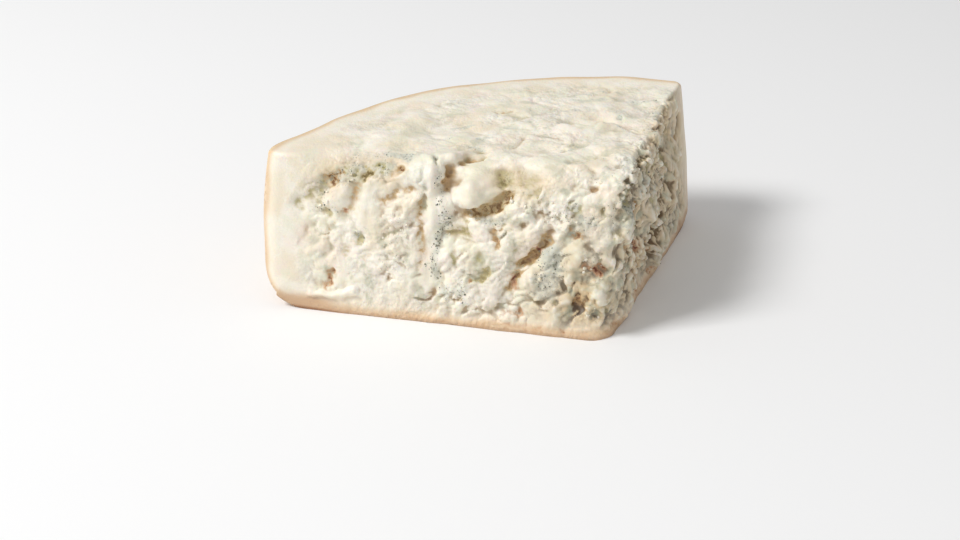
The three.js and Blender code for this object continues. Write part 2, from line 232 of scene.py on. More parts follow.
def form_points(a, b, c):
    """Places of a unit cube's points a, b (along the left and right cut) and c (up)."""
    reach = np.maximum(a, b)
    safe = np.where(reach > 0, reach, 1)
    turn = np.where(reach > 0, np.where(a >= b, b / (2 * safe), 1 - a / (2 * safe)), 0.5)
    tip = tip_point(c)
    heel = heel_point(turn, c)
    plan = lerp(tip, heel, reach[:, None])

    zero, one = np.zeros_like(a), np.ones_like(a)
    left_cut = unit(heel_point(zero, c) - tip)
    right_cut = unit(heel_point(one, c) - tip)
    from_left = np.stack([left_cut[:, 1], -left_cut[:, 0]], 1)
    from_right = np.stack([-right_cut[:, 1], right_cut[:, 0]], 1)
    from_rind = -unit(plan)
    left = np.maximum(((plan - tip) * from_left).sum(1), 0)
    right = np.maximum(((plan - tip) * from_right).sum(1), 0)
    rind = np.maximum((1 - reach) * np.hypot(*(heel - tip).T), 0)
    up = PIECE_HEIGHT * c
    down = PIECE_HEIGHT - up

    rim_in, rim_up = round_edge(rind, up, RIM_ROUNDING)
    edge_in, edge_down = round_edge(rind, down, UPPER_RIM)
    left_in, left_down = round_edge(left, down, left_shoulder(a))
    right_shoulder = lerp(RIGHT_SHOULDER, RIGHT_SHOULDER_HEEL, smoothstep(0.75, 0.95, b))
    right_in, right_down = round_edge(right, down, right_shoulder)
    tip_left, tip_right = round_edge(left, right, TIP_ROUNDING)
    corner_share = lerp(CORNER_AT_FOOT, 1, smoothstep(0, RIM_ROUNDING, up))
    corner_left, heel_left = round_edge(left, rind, corner_share * LEFT_HEEL_CORNER)
    corner_right, heel_right = round_edge(right, rind, corner_share * RIGHT_HEEL_CORNER)

    plan = plan + from_rind * (rim_in + edge_in + heel_left + heel_right)[:, None]
    plan = plan + from_left * (left_in + tip_left + corner_left)[:, None]
    plan = plan + from_right * (right_in + tip_right + corner_right)[:, None]
    height = up + rim_up - np.maximum(np.maximum(edge_down, left_down), right_down)
    return np.column_stack([plan, height])


# Lumps and crevices: the path of each, its half width, its height (negative in a crevice)
# and how smooth the paste is there. Places on a cut are the distance from the tip edge and
# the height. On the top they are plan places about the wheel's axis, with a height where the
# spot lies on the slope of the shoulder.
LEFT_TEARS = {
    "great_hollow": (((76, 64), (62, 68)), 12, -2.0, 0.8),
    "cream_dome": (((70, 61), (66, 66)), 8, 4.2, 1.0),
    "hollow_rim": (((80, 57), (81.5, 63), (81, 69)), 4.5, -2.4, 0.9),
    "below_dome": (((76, 53), (68, 52.5), (61, 54.5), (54, 60)), 4.5, -2.6, 0.7),
    "slope_beside_dome": (((56, 71), (46, 71)), 8, -0.8, 0.6),
    "outer_hollow": (((147, 50), (142, 56), (136, 59)), 5.5, -1.8, 0.4),
    "outer_lump": (((129, 55), (129, 52)), 6.5, 2.0, 0.8),
    "pink_hollow": (((122, 60), (122.5, 55), (125.5, 50)), 4.5, -1.5, 0.7),
    "white_post": (((116, 60), (117, 52), (116, 44)), 5, 1.0, 0.7),
    "slab_arch": (((108.5, 54.5), (104, 59.5), (97, 61)), 4.5, -1.3, 0.6),
    "slab": (((103, 48), (101, 20)), 12, 1.2, 0.35),
    "needle_strip": (((90, 72), (88.7, 64), (86.8, 52), (86, 40), (84.7, 19)), 3, 0.6, 1.0),
    "khaki_hollow": (((75, 43), (70, 44.5)), 6, -2.0, 0.3),
    "white_ridge": (((67, 46), (61, 37)), 5, 1.6, 0.5),
    "middle_lump": (((76, 30), (69, 30)), 6, 1.5, 0.2),
    "inner_lump": (((48, 52), (44, 48)), 8, 1.9, 0.1),
    "low_lump": (((53, 37), (50, 33)), 6, 1.9, 0.2),
    "foot_lump": (((64, 15), (56, 13)), 6.5, 1.9, 0.2),
    "crevice": (((34, 43), (38, 36.5), (44, 30), (48, 18)), 4.5, -2.0, 0.2),
    "blue_patch": (((31, 34), (30, 20)), 8, -0.8, 0.0),
    "brow": (((36, 59), (28, 53)), 6, 1.9, 0.2),
    "cheek": (((19, 38), (21, 31)), 6.5, 2.1, 0.4),
    "chin": (((8, 24), (7, 19)), 5, 1.5, 0.2),
    "foot_ring": (((27, 12), (26, 12)), 6, 1.5, 0.5),
}
RIGHT_TEARS = {
    "edge_hole": (((8, 62), (9, 56)), 5, -3.0, 0.0),
    "brown_hollow": (((24, 49), (22, 54)), 4.5, -3.0, 0.0),
    "upper_hollow": (((72, 62), (92, 58)), 13, -3.6, 0.2),
    "side_pit": (((26, 36), (31, 32)), 5.5, -3.6, 0.0),
    "side_lump": (((40, 48), (48, 44)), 11, 3.4, 0.2),
    "side_crevice": (((62, 52), (66, 24)), 5.5, -3.8, 0.0),
    "heel_lump": (((104, 44), (98, 30)), 12, 3.4, 0.3),
    "heel_crevice": (((121, 56), (120, 40), (114, 28)), 5, -3.0, 0.0),
    "foot_swell": (((84, 14), (72, 12)), 9, 2.4, 0.3),
    "foot_pit": (((40, 18), (44, 8)), 6, -2.4, 0.0),
    "red_pit": (((62, 15), (58, 13)), 5, -2.4, 0.0),
}
TOP_TEARS = {
    "hollow_rim": (((-42, 61), (-38, 58), (-33, 59.5), (-24, 65.5)), 4.5, -2.4, 0.9),
    "slope_beside_dome": (((-26, 55), (-16, 40)), 9, -1.0, 0.6),
    "crater": (((33, 76), (43, 75)), 9, -4.0, 0.9),
    "crater_lip": (((22, 70), (31, 63), (44, 63)), 5, 2.0, 0.7),
    "step": (((52, 62), (50, 52)), 9, -1.8, 0.5),
    "left_dent": (((-34, 98), (-10, 90)), 11, -1.6, 0.6),
    "front_dent": (((-6, 60), (6, 50)), 9, -2.0, 0.5),
    "right_dip": (((66, 76), (78, 92)), 12, -1.8, 0.4),
    "smear_ridge": (((-60, 96), (-30, 116)), 8, 1.2, 0.5),
    "tip_swell": (((22, 24), (30, 38)), 10, 1.3, 0.3),
}

# Narrow rims, pits and flakes, too fine for the solid, in the same terms.
LEFT_NICKS = {
    "hollow_floor": (((139, 50), (136, 47)), 4, -0.6, 0.2),
    "small_hole": (((118.5, 36), (118, 34)), 3, -1.2, 0.0),
    "khaki_channel": (((124.5, 36), (123.5, 28)), 3.5, -1.0, 0.2),
    "split_near_foot": (((129.5, 19), (131.5, 13)), 3.5, -0.9, 0.2),
    "inner_pit": (((57.5, 44.5), (56, 39)), 4, -0.8, 0.0),
    "slanting_pit": (((66, 20), (60, 24), (57, 30)), 4, -0.8, 0.0),
    "crevice_foot": (((50, 10), (43, 8.5)), 4, -1.0, 0.0),
    "shoulder_slot": (((26, 68), (19, 68), (5, 66)), 4, -0.6, 0.0),
    "brow_pit": (((24, 47), (19, 46.5)), 4, -0.7, 0.0),
    "cheek_pit": (((14, 33), (7, 32)), 3.5, -1.0, 0.0),
    "tip_hollow": (((2, 46), (1, 39)), 4, -1.0, 0.0),
    "chin_pit": (((17, 18), (14.5, 17)), 4, -1.3, 0.2),
    "hollow_rim": (((80.5, 61), (81.3, 66), (81.5, 70.5)), 3.0, -1.8, 0.9),
    "hollow_end": (((79.5, 55), (79.5, 60)), 4.5, 2.2, 0.9),
    "dome_crest": (((71.5, 58.5), (69.5, 60.5)), 5.5, 1.0, 1.0),
    "dome_top": (((65, 68), (60, 72)), 6.0, -1.8, 1.0),
    "under_lump": (((71, 52), (65, 52.5), (60, 55), (55.5, 60)), 3.0, -1.6, 0.7),
    "arch_fold": (((106, 57), (103, 61), (95, 61)), 2.2, -0.7, 0.3),
    "inner_ridge": (((99, 49), (97.5, 54), (94, 57)), 1.8, 1.3, 0.8),
    "red_nick": (((105, 68), (103, 71)), 2.2, -1.2, 0.0),
    "olive_nick": (((99, 69), (97, 71)), 2.2, -1.1, 0.0),
    "crumb_nick": (((133, 62.5), (131.5, 66)), 2.0, -1.2, 0.0),
    "crumb_nick_2": (((119.5, 63.5), (117.5, 67)), 1.9, -1.2, 0.0),
    "crumb_nick_3": (((115, 70), (113, 72.5)), 1.8, -1.1, 0.0),
    "crumb_nick_4": (((106, 66.5), (104, 70)), 1.8, -1.1, 0.0),
    "crumb_ridge": (((128, 64), (125, 69)), 2.0, 1.0, 0.3),
    "crumb_ridge_2": (((113.5, 63), (110, 68)), 2.0, 1.0, 0.3),
    "dark_hole": (((118, 37.5), (118, 37)), 1.8, -1.3, 0.0),
    "hole_lip": (((119, 33.5), (116, 33.5)), 2.0, 0.7, 0.5),
    "dark_fold": (((146, 49), (144, 54), (139, 58)), 2.4, -0.4, 0.2),
    "grey_nick": (((139, 52), (139, 57)), 2.0, -0.7, 0.0),
    "under_outer_lump": (((135, 47), (127, 48)), 2.4, -0.5, 0.0),
    "post_edge": (((116, 58), (115, 49)), 2.0, -0.3, 0.2),
    "near_rind_cut": (((146, 31), (140, 42)), 1.8, -0.7, 0.3),
    "near_rind_cut_2": (((133, 36), (131, 31)), 1.8, -0.7, 0.2),
    "near_rind_cut_3": (((137, 23), (131, 29)), 2.0, -0.7, 0.3),
    "near_rind_flake": (((141, 28), (134, 33)), 2.0, 0.7, 0.7),
    "red_split": (((130, 19), (131, 14)), 2.0, -1.1, 0.0),
    "foot_lip": (((138, 7.5), (126, 8.5), (118, 12)), 2.0, 1.3, 1.0),
    "foot_lip_shade": (((137, 4.5), (126, 5.5), (115, 8.5)), 2.2, -0.6, 0.8),
    "slab_nick": (((104, 30), (103, 28)), 1.8, -0.8, 0.0),
    "slab_flake": (((98.5, 39), (98, 44)), 1.6, 0.7, 0.4),
    "slab_flake_2": (((103, 46), (100, 48)), 1.8, 0.7, 0.4),
    "slab_cut": (((107, 40), (106, 30)), 1.6, -0.5, 0.0),
    "upright_cut": (((74, 33), (73, 27)), 1.9, -1.1, 0.0),
    "upright_cut_2": (((64, 36), (61.5, 30)), 2.0, -1.2, 0.0),
    "grain_row": (((67, 49), (59, 49)), 2.0, -0.6, 0.0),
    "pit_bottom": (((57, 43), (55.5, 39)), 1.8, -0.9, 0.0),
    "slanting_split": (((65, 21), (60.5, 24), (57, 29)), 2.0, -1.2, 0.0),
    "crevice_bottom": (((34, 43), (38, 37), (42, 32), (45.5, 26), (48, 19)), 2.0, -1.5, 0.0),
    "crevice_branch": (((34, 53), (33, 46)), 1.8, -0.8, 0.0),
    "brown_foot": (((50, 11), (43, 9.5)), 2.2, -1.1, 0.0),
    "slot_bottom": (((26, 68), (19, 68), (6, 66)), 1.8, -0.5, 0.0),
    "slot_crumb": (((14, 70), (13, 70)), 2.4, 1.1, 0.6),
    "olive_pit": (((25, 59), (24, 58)), 2.6, -1.2, 0.0),
    "orange_pit": (((12, 57), (11, 56.5)), 2.2, -1.2, 0.0),
    "red_nick_2": (((21, 46), (19, 46)), 2.2, -1.2, 0.0),
    "cavity": (((16, 43), (15, 41)), 2.4, -0.9, 0.0),
    "red_shelf": (((10, 32.5), (4, 31.5)), 1.9, -1.3, 0.0),
    "orange_hole": (((16, 15), (15.5, 15)), 2.6, -1.2, 0.3),
    "white_bead": (((22, 18), (21.5, 18)), 3.0, 1.1, 0.9),
    "ring_fold": (((31, 15), (27, 17), (23, 14)), 1.8, -0.7, 0.3),
    "chin_streak": (((7, 18), (6, 25)), 2.0, 1.1, 0.6),
    "chin_nick": (((8, 12), (4, 10)), 2.2, -1.2, 0.0),
}
RIGHT_NICKS = {
    "tip_split": (((4, 43), (6, 36)), 2.2, -1.2, 0.0),
    "brown_split": (((25, 49), (21, 54)), 2.2, -1.2, 0.0),
    "red_nick": (((30, 34), (32, 32)), 2.4, -1.2, 0.0),
    "red_split": (((63, 16), (59, 13)), 2.2, -1.2, 0.0),
    "foot_nick": (((43, 9), (45, 7)), 2.4, -1, 0.0),
    "crevice_bottom": (((62, 50), (66, 26)), 2.2, -1.2, 0.0),
    "dark_speck": (((78, 48), (77, 46)), 2.4, -1, 0.0),
    "dark_speck_2": (((90, 38), (92, 29)), 2.2, -1, 0.0),
    "heel_cut": (((121, 52), (120, 40)), 2.2, -0.8, 0.0),
    "upper_nick": (((97, 61), (96, 59)), 2.4, -1, 0.0),
}
TOP_NICKS = {
    "hollow_arch": (((-41.5, 60, 69), (-37, 61, 70), (-32.5, 62, 70.5), (-26, 61, 71.5)),
                    2.8, -3.2, 0.9),
    "arch_lip": (((-45, 64, 71), (-38, 65.5, 72), (-32, 66.5), (-24, 65)), 2.6, 0.8, 0.9),
    "needle_slit": (((-45.5, 66.5), (-47, 62)), 1.1, -2.8, 0.0),
    "strip_head": (((-48, 70), (-49, 64)), 2.4, 0.8, 1.0),
    "brown_mark": (((6, 105), (11, 102)), 1.9, -1, 0.0),
    "crater_edge": (((27, 68), (33, 65), (41, 66)), 1.8, 0.8, 0.8),
    "needle_hole": (((19, 33.5), (19.5, 33)), 1.6, -2, 0.0),
    "needle_hole_2": (((2, 49), (2.5, 48.5)), 1.5, -1.4, 0.0),
    "needle_hole_3": (((27, 75), (27.5, 75)), 1.5, -1.4, 0.0),
    "needle_hole_4": (((52.5, 72), (53, 72)), 1.4, -1.4, 0.0),
    "needle_hole_5": (((68.5, 62), (69, 62)), 1.8, -1.8, 0.0),
    "needle_hole_6": (((-16.5, 79.5), (-16, 79)), 1.6, -1.4, 0.0),
    "needle_hole_7": (((10.5, 50), (11, 50)), 1.5, -1.4, 0.0),
    "tip_nick": (((17, 22), (20, 21)), 1.8, -1.4, 0.0),
    "tip_nick_2": (((28, 19), (30, 18)), 1.8, -1.4, 0.0),
    "tip_nick_3": (((10, 19.5), (12, 18)), 2.0, -1.6, 0.0),
}

# A needle ran down just inside the left cut. It left a smooth bright lip, with a mouldy track
# on its tip side and an upright groove on its rind side.
NEEDLE_TRACK = {
    "lip": (((90, 72), (88.7, 64), (86.8, 52), (86.2, 44)), 1.8, 0.45, 0.8),
    "lip_end": (((86, 36), (84.7, 19)), 3.0, -0.6, 1.0),
    "track": (((86, 71), (84.5, 60), (81, 48), (82, 37), (80.5, 22)), 2.4, -0.3, 0.0),
    "groove": (((97, 60), (93, 56), (91.2, 46), (89.5, 32), (90, 16)), 2.0, -0.4, 0.3),
}

# Blue mould: the path of each patch, its half width, how thick the mould grows and how far
# it has broken the paste into crumbs.
LEFT_MOULD = {
    "crumb_band": (((132, 64), (124, 69), (110, 71)), 4.4, 0.62, 0.6),
    "outer_hollow": (((140, 58), (139, 51), (132, 48)), 4.0, 0.4, 0.4),
    "track_upper": (((86, 70), (84.5, 61), (82, 51)), 1.3, 0.5, 0.1),
    "track_middle": (((82, 51), (79.5, 46), (82, 39)), 2.2, 0.6, 0.15),
    "track_lower": (((82, 39), (83, 30), (81, 21)), 2.0, 0.6, 0.15),
    "grain_row": (((70, 51), (59, 49), (54, 52)), 2.2, 0.6, 0.5),
    "granular_patch": (((53, 64), (42, 60)), 5.5, 0.25, 0.5),
    "low_grains": (((75, 15.5), (68, 17)), 3.8, 0.55, 0.6),
    "blue_patch_upper": (((32, 38), (29, 31)), 5.5, 0.8, 0.1),
    "blue_patch_lower": (((29, 31), (31, 20)), 6.5, 0.65, 0.2),
    "shoulder_specks": (((18, 52), (24, 49)), 5.0, 0.5, 0.4),
    "tip_specks": (((8, 60), (4, 50)), 5.0, 0.4, 0.3),
    "small_hole": (((118, 37), (118, 36)), 2.4, 0.85, 0.2),
    "slab_grain": (((102, 46), (101, 24)), 6.0, 0.15, 0.6),
    "cheek_grain": (((14, 38), (10, 30)), 4.0, 0.35, 0.6),
    "brow_grain": (((34, 53), (25, 58)), 3.5, 0.4, 0.7),
    "chin_grain": (((12, 12), (6, 11)), 3.0, 0.35, 0.6),
}
RIGHT_MOULD = {
    "edge_hole": (((3, 61), (8, 56)), 4, 0.7, 0.3),
    "upper_band": (((14, 62), (60, 66)), 5, 0.35, 0.3),
    "middle_band": (((66, 60), (92, 58)), 7, 0.5, 0.2),
    "dark_pit": (((78, 48), (66, 30)), 5, 0.45, 0.2),
    "heel_band": (((121, 42), (104, 24)), 6, 0.4, 0.2),
    "side_pit": (((24, 37), (32, 31)), 4, 0.45, 0.3),
    "foot_pit": (((80, 6), (60, 10)), 5, 0.35, 0.3),
}
TOP_MOULD = {
    "crumb_band": (((-76, 87), (-68, 83), (-61, 80)), 3.4, 0.45, 0.6),
    "crumb_band_dark": (((-61, 80), (-54, 74)), 2.6, 0.85, 0.4),
    "slit": (((-45.5, 66.5), (-47, 62)), 1.0, 1.0, 0.0),
    "dash_a": (((-41, 99), (-36, 96)), 1.8, 0.5, 0.2),
    "dash_b": (((-21, 97), (-12, 97)), 1.8, 0.7, 0.2),
    "dash_c": (((-17, 80), (-12, 78)), 2.2, 0.6, 0.2),
    "dash_d": (((-1, 86), (4, 83)), 1.8, 0.65, 0.2),
    "dash_e": (((-37, 90), (-30, 85)), 1.5, 0.5, 0.2),
    "dash_f": (((-27, 73), (-21, 69)), 2.4, 0.45, 0.2),
    "dash_g": (((32, 92), (40, 90)), 1.8, 0.6, 0.3),
    "dash_h": (((46, 102), (60, 96)), 2.0, 0.65, 0.3),
    "dash_i": (((58, 109), (66, 104)), 1.8, 0.55, 0.2),
    "dash_j": (((70, 90), (82, 86)), 2.2, 0.6, 0.3),
    "dash_k": (((70, 74), (76, 70)), 2.4, 0.6, 0.3),
    "dash_l": (((24, 79), (29, 72)), 1.6, 0.6, 0.2),
    "dash_m": (((7, 106), (12, 102)), 1.6, 0.4, 0.2),
    "hole_a": (((19, 33.5), (20, 33)), 1.6, 0.9, 0.2),
    "hole_b": (((2, 49), (3, 48.5)), 1.5, 0.85, 0.2),
    "hole_c": (((52, 72), (53, 72)), 1.4, 0.85, 0.2),
    "hole_d": (((68, 62), (70, 61)), 2.0, 0.85, 0.2),
    "hole_e": (((10, 50), (12, 49)), 1.4, 0.7, 0.2),
    "tip_band": (((10, 20), (20, 19), (34, 24)), 4.5, 0.45, 0.5),
    "edge_band": (((34, 24), (44, 36), (60, 52)), 4.0, 0.35, 0.5),
}

# Stains that the whey left in hollows and folds, and painted shade among them: the ones named
# shade, hollow_rim and below_dome are painted shadow, and the foot lines darken the foot. The
# path of each, its half width, its strength and its tone, from olive at 0 over brown at 0.5 to
# red-brown at 1.
LEFT_STAINS_AND_SHADE = {
    "hollow_rim": (((81.8, 62), (82, 66), (81.7, 71)), 2.2, 0.85, 0.45),
    "slope_shade": (((56, 71), (47, 68)), 8.0, 0.8, 0.15),
    "slope_foot": (((50, 64), (40, 62)), 5.0, 0.6, 0.1),
    "below_dome": (((70, 52), (61, 54), (55, 59), (54, 65)), 4.0, 0.9, 0.35),
    "outer_edge": (((148, 49), (144, 57), (137, 61)), 3.0, 0.6, 0.1),
    "outer_floor": (((139, 52), (134, 48)), 3.5, 0.5, 0.15),
    "crumbs_outer": (((134, 63), (130.5, 67)), 4.2, 1.4, 0.45),
    "crumbs_middle": (((128, 68), (124, 66)), 4.0, 1.3, 0.1),
    "crumbs_inner": (((120, 65), (117, 69)), 4.0, 1.4, 0.2),
    "crumbs_upper": (((117, 70), (112, 72)), 3.4, 1.3, 0.05),
    "crumbs_end": (((106, 66), (104, 70.5)), 3.0, 1.3, 0.5),
    "crumbs_olive": (((100, 68), (97, 71)), 2.6, 1.0, 0.0),
    "pink_hollow": (((122, 60), (122.5, 55)), 3.5, 0.5, 0.6),
    "under_outer_lump": (((125.5, 50), (122, 49)), 2.5, 0.5, 0.4),
    "red_dot": (((126.5, 49), (125.5, 49)), 1.6, 0.8, 1.0),
    "small_hole": (((118.8, 36), (118.4, 34.5)), 2.4, 0.9, 0.1),
    "khaki_channel": (((124.8, 35), (123.5, 28)), 2.5, 0.45, 0.2),
    "upright_fold": (((134, 36), (131, 43)), 2.0, 0.4, 0.5),
    "near_rind_cut": (((146.5, 33), (141.5, 44)), 1.8, 0.35, 0.5),
    "split": (((129.5, 18.5), (131.3, 13)), 2.6, 0.9, 0.8),
    "slab_arch": (((109, 54.4), (107.4, 57), (103.6, 59.4), (97.5, 60.6)), 2.4, 0.65, 0.45),
    "slab_groove": (((93.5, 56), (92, 47), (91, 39), (89, 33), (90, 25)), 2.4, 0.7, 0.45),
    "inner_ridge": (((97, 50), (95.5, 55)), 2.0, 0.35, 0.3),
    "pink_nick": (((106, 66), (103.3, 71)), 2.2, 0.6, 0.75),
    "olive_nick": (((98.5, 68.5), (95.5, 72)), 2.2, 0.6, 0.0),
    "khaki_hollow": (((75.5, 43.5), (70.5, 45)), 5.0, 0.7, 0.15),
    "upright_olive": (((63.8, 33), (63.7, 27)), 1.8, 0.6, 0.0),
    "upright_olive_2": (((75.2, 33), (74.3, 28)), 1.8, 0.6, 0.0),
    "grain_row": (((68, 50.5), (58, 50.5)), 2.0, 0.5, 0.1),
    "inner_pit": (((57, 45), (56.5, 39.5)), 2.4, 0.8, 0.6),
    "slanting_pit": (((64, 21.5), (61, 23.5), (59.5, 27)), 2.4, 0.75, 0.15),
    "slanting_pit_low": (((67, 20), (63.5, 22)), 2.4, 0.6, 0.8),
    "olive_dab": (((48.7, 34), (48, 37.5)), 1.8, 0.5, 0.0),
    "crevice": (((35, 43), (38, 37.5), (42, 32), (45.5, 26), (47.5, 20)), 2.8, 0.85, 0.4),
    "crevice_red": (((39.5, 39.5), (37, 38)), 2.4, 1.0, 1.0),
    "crevice_red_2": (((46.9, 24), (45.8, 20.5)), 2.6, 1.0, 0.9),
    "foot_brown": (((48, 7.5), (45.6, 8.8), (42.5, 8.7)), 2.8, 0.95, 0.85),
    "foot_line": (((46, 3), (25, 2), (5, 2)), 1.8, 0.9, 0.9),
    "brow_pit": (((23.7, 47), (20, 46.8)), 2.2, 0.8, 0.7),
    "red_shelf": (((15, 33), (9.9, 31), (7.5, 32.8)), 1.9, 1.0, 1.0),
    "olive_pit": (((4, 45), (2, 47)), 2.8, 0.7, 0.0),
    "olive_brow": (((26, 59), (22, 58)), 2.6, 0.5, 0.0),
    "tip_orange": (((17.5, 17.5), (16, 17.3)), 2.8, 0.85, 0.6),
    "orange_band": (((11.5, 23), (10.5, 26)), 1.6, 0.6, 0.7),
    "foot_ring": (((30.5, 14.5), (27.5, 16.5), (24.5, 14.5), (26, 10.5)), 1.5, 0.4, 0.1),
    "chin_shade": (((5, 21), (3, 12)), 3.2, 0.55, 0.15),
    "cheek_shade": (((9, 36), (5, 42)), 3.0, 0.4, 0.15),
}
RIGHT_STAINS_AND_SHADE = {
    "dark_red": (((24, 39), (37, 28)), 3.4, 0.9, 0.95),
    "dark_red_low": (((43, 17), (45, 9)), 3.4, 0.8, 0.9),
    "brown_split": (((25, 49), (21, 54)), 2.6, 0.85, 0.6),
    "red_pit": (((63, 16), (59, 13)), 3.0, 0.85, 0.9),
    "crevice": (((62, 50), (66, 26)), 4.0, 0.75, 0.4),
    "edge_hole": (((8, 62), (9, 56)), 3.4, 0.6, 0.1),
    "edge_shade": (((30, 68), (52, 60)), 3.4, 0.6, 0.1),
    "upper_fold": (((68, 66), (84, 56), (92, 48)), 4.0, 0.6, 0.15),
    "olive_fold": (((40, 62), (46, 40)), 3.4, 0.55, 0.1),
    "side_fold": (((12, 44), (16, 26), (14, 14)), 3.0, 0.6, 0.5),
    "low_fold": (((28, 14), (38, 22), (52, 30)), 3.0, 0.6, 0.5),
    "heel_cut": (((121, 52), (120, 40), (114, 28)), 3.4, 0.55, 0.4),
    "heel_fold": (((96, 62), (104, 50), (102, 36)), 3.4, 0.5, 0.2),
    "foot_line": (((4, 2), (40, 2), (90, 2.5)), 2.2, 0.9, 0.85),
}
TOP_STAINS_AND_SHADE = {
    "hollow_rim": (((-41.5, 60, 69), (-37, 61, 70), (-32.5, 62, 70.5), (-26, 61, 71.5)),
                   2.4, 0.9, 0.5),
    "brown_mark": (((6, 105), (11, 102)), 1.9, 0.6, 0.6),
    "crater_wall": (((33, 80), (41, 81)), 3.0, 0.3, 0.1),
}

# Rows of dark mouldy dots, the path of each and its reach: along the needle, thickest
# near its lower end, and in short strokes on the blue patch.
MOULD_ROWS = {
    "needle": (((85.9, 68), (85, 60), (81.5, 49.5), (78.5, 46.5), (81.7, 42), (83.5, 33),
                (83.5, 25), (81.5, 21)), 2.2),
    "needle_cluster": (((84.5, 27), (82, 22)), 3.0),
    "needle_cluster_upper": (((81, 50), (79, 46.5)), 2.6),
    "stroke_upper": (((37.3, 36.5), (35.6, 32)), 1.3),
    "stroke_middle": (((34.5, 31), (32.5, 26.5)), 1.4),
    "stroke_lower": (((35.8, 27), (35, 22.5)), 1.2),
    "stroke_inner": (((30, 35), (29, 31.5)), 1.1),
}

# The rows thin out over these heights, to a share of their grains. Elsewhere the grains stand
# only on mouldy paste that is crumbled this far, and sparser.
ROWS_THIN, ROWS_ABOVE = (45, 60), 0.5
MOULD_ON_CRUMBS, CRUMBLED = 0.6, (0.02, 0.35)

# Painted shade on the left cut: the slope above the great hollow and the crumbly band by the
# rind are painted tan and darker. The shares say how strong the painted shade is there and on
# the right cut. The low tip gets the most, within a share of the cuts' length and a height.
SHADED_PATHS = (((56, 72), (44, 66)), ((134, 64), (124, 70), (108, 72)))
SHADED_REACH = (12, 3)
SHADED_SHARE, SHADE_ON_RIGHT = 0.6, 0.72
SHADED_TIP, SHADED_TIP_HEIGHT = (0.32, 0.08), (62, 16)

# Where the wedge is painted tan and brown, each time where the colour starts and where it is full:
# the shelf at the foot by its height and its distance from the rind, which is browned rind and
# painted shade where the foot curves under; the line along the foot; and the browned upper
# rim's tan and brown by their depth under the rind and their height.
SHELF_HEIGHT, SHELF_REACH = (11, 3), (45, 12)
FOOT_LINE = (2.2, 0.5)
TAN_RIM_DEPTH, TAN_RIM_HEIGHT = (3.4, 1.4), (58, 70)
BROWN_RIM_DEPTH, BROWN_RIM_HEIGHT = (2.2, 0.8), (69, 73)
BROWN_RIM_ENDS = (0.02, 0.12)

# A streak of relief or a stain fades out at this many half widths.
STREAK_REACH = 1.35


def place_on(face, spot):
    """The place of a spot on a face of the plain form."""
    if face == "top":
        return np.array([*spot, PIECE_HEIGHT][:3], float)
    along, up = spot
    c = np.array([up / PIECE_HEIGHT])
    turn = np.array([0.0 if face == "left" else 1.0])
    share = along / np.hypot(*(heel_point(turn, c) - tip_point(c))[0])
    a, b = (share, 0.0) if face == "left" else (0.0, share)
    return form_points(np.array([a]), np.array([b]), c)[0]


def distance_to(points, path):
    """Distance of each point from a path through several places."""
    nearest = np.full(len(points), 1e9)
    for start, end in zip(path, path[1:]):
        line = end - start
        t = np.clip((points - start) @ line / max(line @ line, 1e-9), 0, 1)
        away = points - start - t[:, None] * line
        nearest = np.minimum(nearest, (away * away).sum(1))
    return np.sqrt(nearest)


def streaks(points, tables):
    """For each streak of the tables of the faces: the points' distances from it, its half
    width and its other values."""
    for face, table in tables.items():
        for spots, half_width, *values in table.values():
            path = [place_on(face, spot) for spot in spots]
            yield distance_to(points, path), half_width, values


def streak_relief(points, full_depth, **tables):
    """Summed relief of placed streaks, how smooth the paste is, and how much the hollows darken
    the paste, partly as stain and partly as painted shade, full where a hollow is as deep as the
    given depth."""
    relief, smooth, stain = np.zeros((3, len(points)))
    uneven = np.clip(0.9 + 1.1 * waves(points, size=7.0, seed=73), 0.25, 1.4)
    for away, half_width, (height, smoothness) in streaks(points, tables):
        share = away / (STREAK_REACH * half_width)
        fade = np.clip(1 - share * share, 0, 1) ** 2 * lerp(uneven, 1, smoothness)
        relief += height * fade
        smooth = np.maximum(smooth, smoothness * np.sqrt(fade))
        stain = np.maximum(stain, np.clip(-height / full_depth, 0, 1) * fade)
    return relief, smooth, stain


def mould_cover(points, **tables):
    """How thick the mould grows at each point, and how crumbly the paste is under it."""
    cover, crumbly = np.zeros((2, len(points)))
    for away, half_width, (thickness, crumbs) in streaks(points, tables):
        fade = np.clip(1.5 - away / half_width, 0, 1)
        cover = np.maximum(cover, thickness * fade)
        crumbly = np.maximum(crumbly, crumbs * smoothstep(0, 0.7, fade))
    return cover, crumbly


def stain_and_shade_cover(points, **tables):
    """How strongly each point is darkened by stains and painted shade, and in which tone."""
    cover, tone = np.zeros((2, len(points)))
    broken = np.clip(1.0 + 0.9 * waves(points, size=3.0, seed=101), 0.4, 1.0)
    for away, half_width, (strength, streak_tone) in streaks(points, tables):
        share = away / (STREAK_REACH * half_width)
        here = strength * np.clip(1 - share * share, 0, 1) ** 1.5 * broken
        tone = np.where(here > cover, streak_tone, tone)
        cover = np.maximum(cover, here)
    return cover, tone


